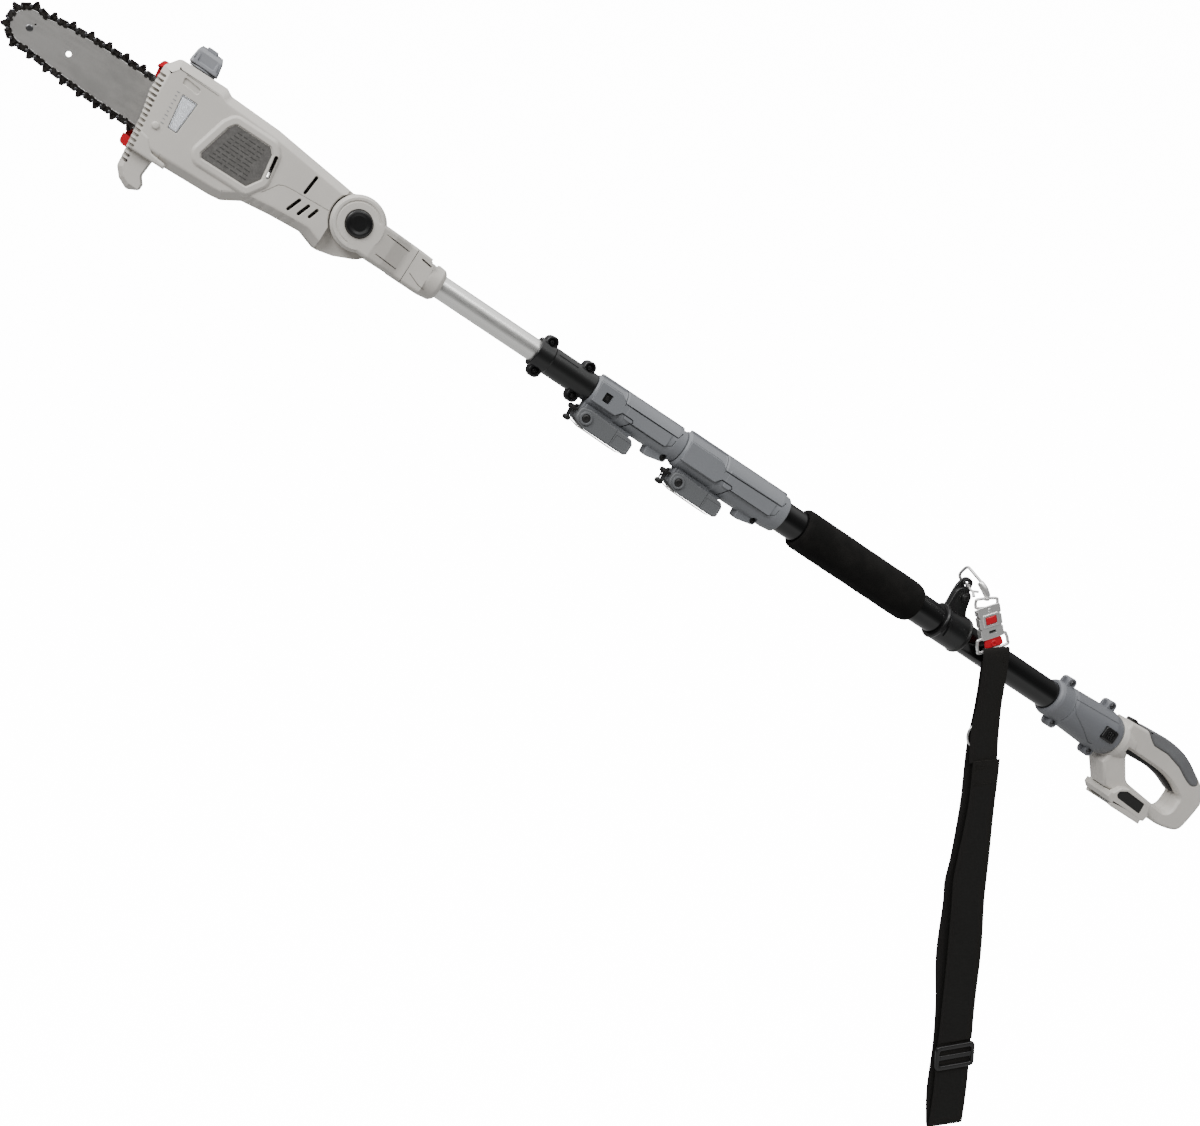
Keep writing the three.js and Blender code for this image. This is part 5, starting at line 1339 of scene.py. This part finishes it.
def swivel_ring():
    """The rectangular ring and the stem that turns in the hook's barrel."""
    z, half, drop = EYE_Z - 11, 14.2, 11
    loop = [(-half + 3, z), (half - 3, z), (half, z - 3), (half, z - drop + 3), (half - 3, z - drop),
            (-half + 3, z - drop),
            (-half, z - drop + 3), (-half, z - 3)]
    wire = sweep([(HANG_X + x, HANG_Y, h) for x, h in loop], 1.8, closed=True)
    stem = lathe([(0, z - 2.4), (3.2, z - 2.2, 0.8), (3.4, z + 1.4, 0.8), (2, z + 2.2, 0.5),
                  (2, EYE_Z - 2.4, 0.5), (0, EYE_Z - 2.4)],
                 "Z", (HANG_X, HANG_Y, 0), 40)
    piece(fuse(wire, stem), "swivel_ring_wire", "bright", "strap", "swivel_ring", matrix=HERE)


def buckle():
    """The quick-release buckle: a pressed steel case that leans with the strap, its red release
    shown through a window, and a wire frame that holds the webbing."""
    lean = HERE @ Matrix.Translation((HANG_X, 0, EYE_Z - 19)) @ Matrix.Rotation(math.radians(-13), 4, "Y")
    y = HANG_Y
    half = 14.8
    front = slab(rectangle(-half, half, -41, 1, 3), rounded(y - 6.4, y - 4.2, 0.7, steps=3))
    collar = slab(rectangle(-10.4, 10.4, -25.4, -9.2, 2.4), rounded(y - 7.6, y - 5, 0.7, 0, 3))
    flanks = [block(s * (half - 1.8), s * half, y - 5, y + 4, -40, -4, 0.5) for s in (-1, 1)]
    back = slab(rectangle(-half, half, -31, -4, 3), rounded(y + 2.6, y + 4, 0.4, steps=2))
    case = fuse(front, collar, *flanks, back)
    tools = [
        slab(rectangle(-7.2, 7.2, -22.4, -12.2, 1.4), [(y - 10, -0.8), (y - 7.2, -0.2), (y - 6.4, 0),
                                                       (y, 0)]),
        slab(rectangle(-4.6, 4.6, -34.6, -30.6, 1), [(y - 9, -0.5), (y - 6, 0), (y, 0)]),
        pin(1.7, y - 9, y, 0, -4.4, count=24), block(1.8 - half, half - 1.8, y - 2.2, y + 2.2, -5, 9),
        *[block(s * (half - 0.6) - 1.2, s * (half - 0.6) + 1.2, y - 9, y + 6, z - 1.5, z + 1.5, 0, 0.8)
          for s in (-1, 1) for z in (-12, -27)],
    ]
    case = cut(case, *tools)
    piece(case, "buckle_case", "bright", "strap", "strap_buckle", matrix=lean, crease=30)
    frame_line = [(-15, -40), (15, -40), (19.4, -44), (20.2, -52), (17, -56.6), (-17, -56.6),
                  (-20.2, -52), (-19.4, -44)]
    loop = sweep([(x, y - 1, z) for x, z in frame_line], 1.9, closed=True)
    rivet = spun([(0, y - 7.1), (1.8, y - 6.9, 0.4), (2.5, y - 6.2), (0, y - 6.2)], (0, -4.4), 24)
    piece(heap(loop, rivet), "buckle_frame", "bright", "strap", matrix=lean)

    key = block(-6.8, 6.8, y - 7.9, y - 3.4, -22, -12.6, 1.1, 1.6)
    # The bridge has a pocket behind the case's lower slot for the black block of painted shade below.
    bridge = cut(block(-9, 9, y - 4.1, y + 1, -48, -11, 0.8, 2),
                 block(-5.4, 5.4, y - 5, y - 3, -35.6, -29.6))
    # A black block behind the case's lower slot: painted shade seen through it.
    slot_shade_block = block(-5.2, 5.2, y - 3.9, y - 3.1, -35.4, -29.8, 0.2)
    piece(slot_shade_block, "buckle_slot_painted_shade", "black", "red_release", matrix=lean)
    tongue = slab([(-12.4, -52.6, 3), (12.4, -52.6, 3), (11, -42, 5), (6, -38.6, 3), (-6, -38.6, 3),
                   (-11, -42, 5)],
                  rounded(y - 5.6, y - 2.4, 1, steps=3))
    dome = spun([(1.7, y - 6.4), (4, y - 6.4, 0.6), (4, y - 5), (1.7, y - 5)], (0, -48), 32)
    piece(fuse(key, bridge, tongue, dome), "buckle_release_key", "red", "red_release", "buckle_release",
                 matrix=lean, crease=30)


# The webbing's runs as rows of height, left edge, right edge and depth: the front one in two
# lengths that overlap at the seam, the fold at the bottom, and the run up behind.
UPPER_FRONT = [
    (-103.8, 151.8, 187.6, -34.8), (-108.4, 151.4, 187, -38.8), (-140, 150.6, 185, -38.6),
    (-172, 148.4, 182, -38),
    (-200, 143.6, 180.8, -38), (-224, 142.4, 180.6, -38.2), (-248, 143, 181, -38.6),
]
LOWER_FRONT = [
    (-246, 147.4, 183.6, -39.9), (-270, 147, 183, -39.9), (-303, 145.4, 181.6, -39.6),
    (-340, 140.6, 180.8, -39.4),
    (-372, 135.6, 180.2, -39.2), (-405, 131.6, 178.8, -39.2), (-438, 131.8, 177.4, -39.4),
    (-507, 131, 178.6, -39.2),
    (-579, 128.4, 175.6, -39), (-632, 126.6, 174.6, -38.6),
]
LOWER_END = [
    (-632, 126.8, 174.4, -37.2), (-690, 126, 174, -37), (-722, 124.4, 172.4, -37),
    (-750, 122, 170.4, -37),
    (-756.2, 121.4, 169.8, -36.2), (-757, 121.2, 169.6, -34.6), (-755.6, 120.8, 168.8, -33),
]
BACK = [
    (-744, 119.6, 166.6, -32.4), (-700, 118, 167, -32.6), (-637, 122.4, 169, -32.8),
    (-579, 122.4, 171, -32.8),
    (-507, 118.6, 171, -32.6), (-438, 123.4, 173, -32.6), (-405, 123.6, 174, -32.8),
    (-370, 129.4, 176, -33),
    (-303, 137, 179.6, -33.2), (-270, 138.6, 181, -33.4), (-222, 141, 180.6, -33.4),
    (-172, 148, 182, -33.2),
    (-120, 152.6, 186, -33),
]


THICK = 1.5  # of the webbing
ACROSS = 20  # cells over its width


def band(rows, name):
    """A strip of webbing through rows of (height, left, right, depth), its edges a little rolled."""
    left = smooth([(x0, y, z) for z, x0, _, y in rows], 10)
    right = smooth([(x1, y, z) for z, _, x1, y in rows], 10)
    n = len(left)
    bm = bmesh.new()
    rng = random.Random(len(rows))
    wave = [rng.uniform(0, 6.3) for _ in range(3)]
    layers = []
    for i in range(n):
        ahead = (left[min(i + 1, n - 1)] - left[max(i - 1, 0)]).normalized()
        side = (right[i] - left[i]).normalized()
        out = side.cross(ahead).normalized()
        row = []
        for k in range(ACROSS + 1):
            t = k / ACROSS
            edge = min(t, 1 - t) * ACROSS
            half = THICK / 2 * (0.45 if edge < 0.5 else 0.86 if edge < 1.5 else 1)
            p = left[i].lerp(right[i], t)
            z = left[i].z
            sag = 0.35 * math.sin(0.03 * z + wave[0] + 2.4 * t)
            sag += 0.2 * math.sin(0.011 * z + wave[1] - 3 * t)
            row.append((p + out * (sag + half), p + out * (sag - half)))
        layers.append([[bm.verts.new(a) for a, _ in row], [bm.verts.new(b) for _, b in row]])
    for (a0, b0), (a1, b1) in zip(layers, layers[1:]):
        for k in range(ACROSS):
            bm.faces.new((a0[k], a0[k + 1], a1[k + 1], a1[k]))
            bm.faces.new((b0[k + 1], b0[k], b1[k], b1[k + 1]))
        bm.faces.new((a0[0], a1[0], b1[0], b0[0]))
        bm.faces.new((a0[-1], b0[-1], b1[-1], a1[-1]))
    for a, b in (layers[0], layers[-1]):
        for k in range(ACROSS):
            bm.faces.new((a[k], b[k], b[k + 1], a[k + 1]))
    obj = made(bm)
    piece(obj, name, "webbing", "strap", matrix=HERE, crease=50)
    width = sum((b - a).length for a, b in zip(left, right)) / n / 1000
    length = sum((b - a).length for a, b in zip(left, left[1:])) / 1000
    return obj, width, length


def stitches(rows, y):
    """Short threads side by side along rows of (height, left, right)."""
    r, length = 0.42, 2.6
    one = lathe([(0, -length / 2), (0.7 * r, -0.42 * length, 0.1), (r, -0.2 * length, 0.2),
                 (r, 0.2 * length, 0.2), (0.7 * r, 0.42 * length, 0.1), (0, length / 2)], "X", count=8)
    copies = []
    for z, x0, x1 in rows:
        count = int((x1 - x0) / (length * 1.15))
        copies += [(one, Matrix.Translation((x0 + (k + 0.5) * (x1 - x0) / count, y, z)))
                   for k in range(count)]
    return gather(copies)


def webbing():
    """The webbing's three runs as sheets, and their stitching."""
    seams = stitches([(-252, 149.5, 182), (-256, 149.5, 182), (-276, 149, 181)], -40.75)
    hem = stitches([(-117, 154, 184), (-121, 154, 184)], -39.6)
    threads = piece(heap(seams, hem), "webbing_threads", "webbing", "strap", matrix=HERE)
    pieces = [("webbing_upper", UPPER_FRONT, [threads]), ("webbing_front", LOWER_FRONT, []),
              ("webbing_back", LOWER_END + BACK, [])]
    for name, rows, extra in pieces:
        obj, width, length = band(rows, name)
        if name == "webbing_back":
            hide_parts("strap_webbing")


def slider():
    """The webbing's slider and the small ring on the webbing."""
    y = -37.4
    outer = rectangle(123.8, 179.4, -671.6, -636.6, 7)
    frame_ring = slab([outer, rectangle(129.2, 174.4, -665.4, -642.8, 3)],
                      rounded(y - 3.6, y + 1.6, 1.5, steps=4))
    bar = block(127, 176.4, y - 2.4, y + 1.2, -657.6, -651, 1.2)
    piece(fuse(frame_ring, bar), "strap_slider_frame", "black", "strap", "strap_slider", matrix=HERE)
    ring = sweep([(148.4 + 9.4 * math.cos(a), -36.4, -213.5 + 13.4 * math.sin(a))
                  for a in (2 * math.pi * k / 10 for k in range(10))],
                 1.25, closed=True)
    piece(ring, "webbing_ring_wire", "bright", "strap", "webbing_ring", matrix=HERE)


# ---- CAD nodes that show as they are ----

CARRIED = {
    "motor_rotor": "copper", "motor_can": "bright", "gearbox_plate": "lock", "crown_gear": "gear",
    "drive_sprocket": "bright",
    "nose_sprocket": "chain", "tilt_axle": "bright", "oil_tank": "tank", "chain_tension_screw": "screw",
    "switch_body": "black",
}


def carried_over():
    """Gives the hidden CAD pieces a material and broken edges."""
    for node, kind in CARRIED.items():
        obj = frame["nodes"][node]
        obj.data.materials.clear()
        obj.data.materials.append(MATERIALS[kind][1])
        edge = obj.modifiers.new("edge", "BEVEL")
        edge.width, edge.segments, edge.limit_method = 0.00015, 2, "ANGLE"
        edge.angle_limit = math.radians(40)
        obj.modifiers.new("even shading", "WEIGHTED_NORMAL")


# ---- studio ----

LENS, SENSOR = 43.5, 36
EYE_POINT = (-0.72569, -1.49880, 0.44326)
PITCH, YAW = 75, -15.44
FLOOR = -0.80
FLOOR_GLOW = 14  # only the camera sees it
ROOM_LIGHT = 1.9
KEY_LIGHT = 105
# Brightness of the room from straight down, 0, to straight up, 1.
ROOM = [(0, 0.35), (0.2, 0.42), (0.31, 0.14), (0.4, 0.05), (0.55, 0.05), (0.66, 0.12), (0.8, 0.8)]


def camera():
    data = bpy.data.cameras.new("camera")
    data.lens, data.sensor_width, data.sensor_fit = LENS, SENSOR, "HORIZONTAL"
    obj = bpy.data.objects.new("camera", data)
    obj.location = EYE_POINT
    obj.rotation_euler = (math.radians(PITCH), 0, math.radians(YAW))
    bpy.context.scene.collection.objects.link(obj)
    bpy.context.scene.camera = obj


def softbox(name, place, target, size, power):
    data = bpy.data.lights.new(name, "AREA")
    data.shape, data.size, data.size_y = "RECTANGLE", size[0], size[1]
    data.energy = power
    obj = bpy.data.objects.new(name, data)
    obj.location = place
    obj.rotation_euler = (Vector(target) - Vector(place)).to_track_quat("-Z", "Y").to_euler()
    bpy.context.scene.collection.objects.link(obj)


def studio():
    """A pale sweep, a white room round it and two soft lamps."""
    # A floor that curves up into a wall behind the object.
    bm = bmesh.new()
    profile = [(-7, FLOOR), (3, FLOOR), *arc(3, FLOOR + 2.2, 2.2, -90, 0, 16)[1:], (5.2, 9)]
    rows = [[bm.verts.new((x, y, z)) for x in (-9, 9)] for y, z in profile]
    for a, b in zip(rows, rows[1:]):
        bm.faces.new((a[0], a[1], b[1], b[0]))
    floor = made(bm)
    floor.name = "floor"
    pale = bpy.data.materials.new("floor")
    pale.use_nodes = True
    looks = {"Base Color": (0.93, 0.93, 0.93, 1), "Roughness": 0.9, "Emission Color": (1, 1, 1, 1),
             "Emission Strength": FLOOR_GLOW}
    for key, value in looks.items():
        pale.node_tree.nodes["Principled BSDF"].inputs[key].default_value = value
    floor.data.materials.append(pale)
    for face in floor.data.polygons:
        face.use_smooth = True
    floor.visible_diffuse = floor.visible_glossy = False

    # A white room, bright overhead and near the floor, and dim at eye level.
    world = bpy.data.worlds.new("studio")
    world.use_nodes = True
    tree = world.node_tree
    direction = tree.nodes.new("ShaderNodeTexCoord").outputs["Generated"]
    parts = tree.nodes.new("ShaderNodeSeparateXYZ")
    tree.links.new(direction, parts.inputs[0])
    height = tree.nodes.new("ShaderNodeMapRange")
    height.inputs["From Min"].default_value = -1
    tree.links.new(parts.outputs["Z"], height.inputs["Value"])
    ramp = tree.nodes.new("ShaderNodeValToRGB")
    ramp.color_ramp.interpolation = "EASE"
    for place, level in ROOM:
        stop = ramp.color_ramp.elements[0] if place == 0 else ramp.color_ramp.elements.new(place)
        stop.position, stop.color = place, (level, level, level, 1)
    ramp.color_ramp.elements[-1].color = (1, 1, 1, 1)
    tree.links.new(height.outputs[0], ramp.inputs[0])
    tree.links.new(ramp.outputs[0], tree.nodes["Background"].inputs["Color"])
    tree.nodes["Background"].inputs["Strength"].default_value = ROOM_LIGHT
    bpy.context.scene.world = world
    softbox("key", (-2.2, -1.9, 2.9), (-0.3, 0, 0.1), (2.0, 1.4), KEY_LIGHT)
    softbox("strip", (0.9, -2.0, 2.6), (0.2, 0, -0.1), (1.6, 0.9), KEY_LIGHT * 0.35)


camera()
studio()
guide_bar()
saw_chain()
near_shell()
far_shell()
head_trim()
bar_cover()
neck()
tubes()
coupling()
for lock_name, sizes in LOCKS.items():
    lock_collar(lock_name, **sizes)
    lock_lever(lock_name, **sizes)
foam_grip()
strap_clamp()
connector()
handle()
battery_dock()
snap_hook()
swivel_ring()
buckle()
webbing()
slider()
carried_over()
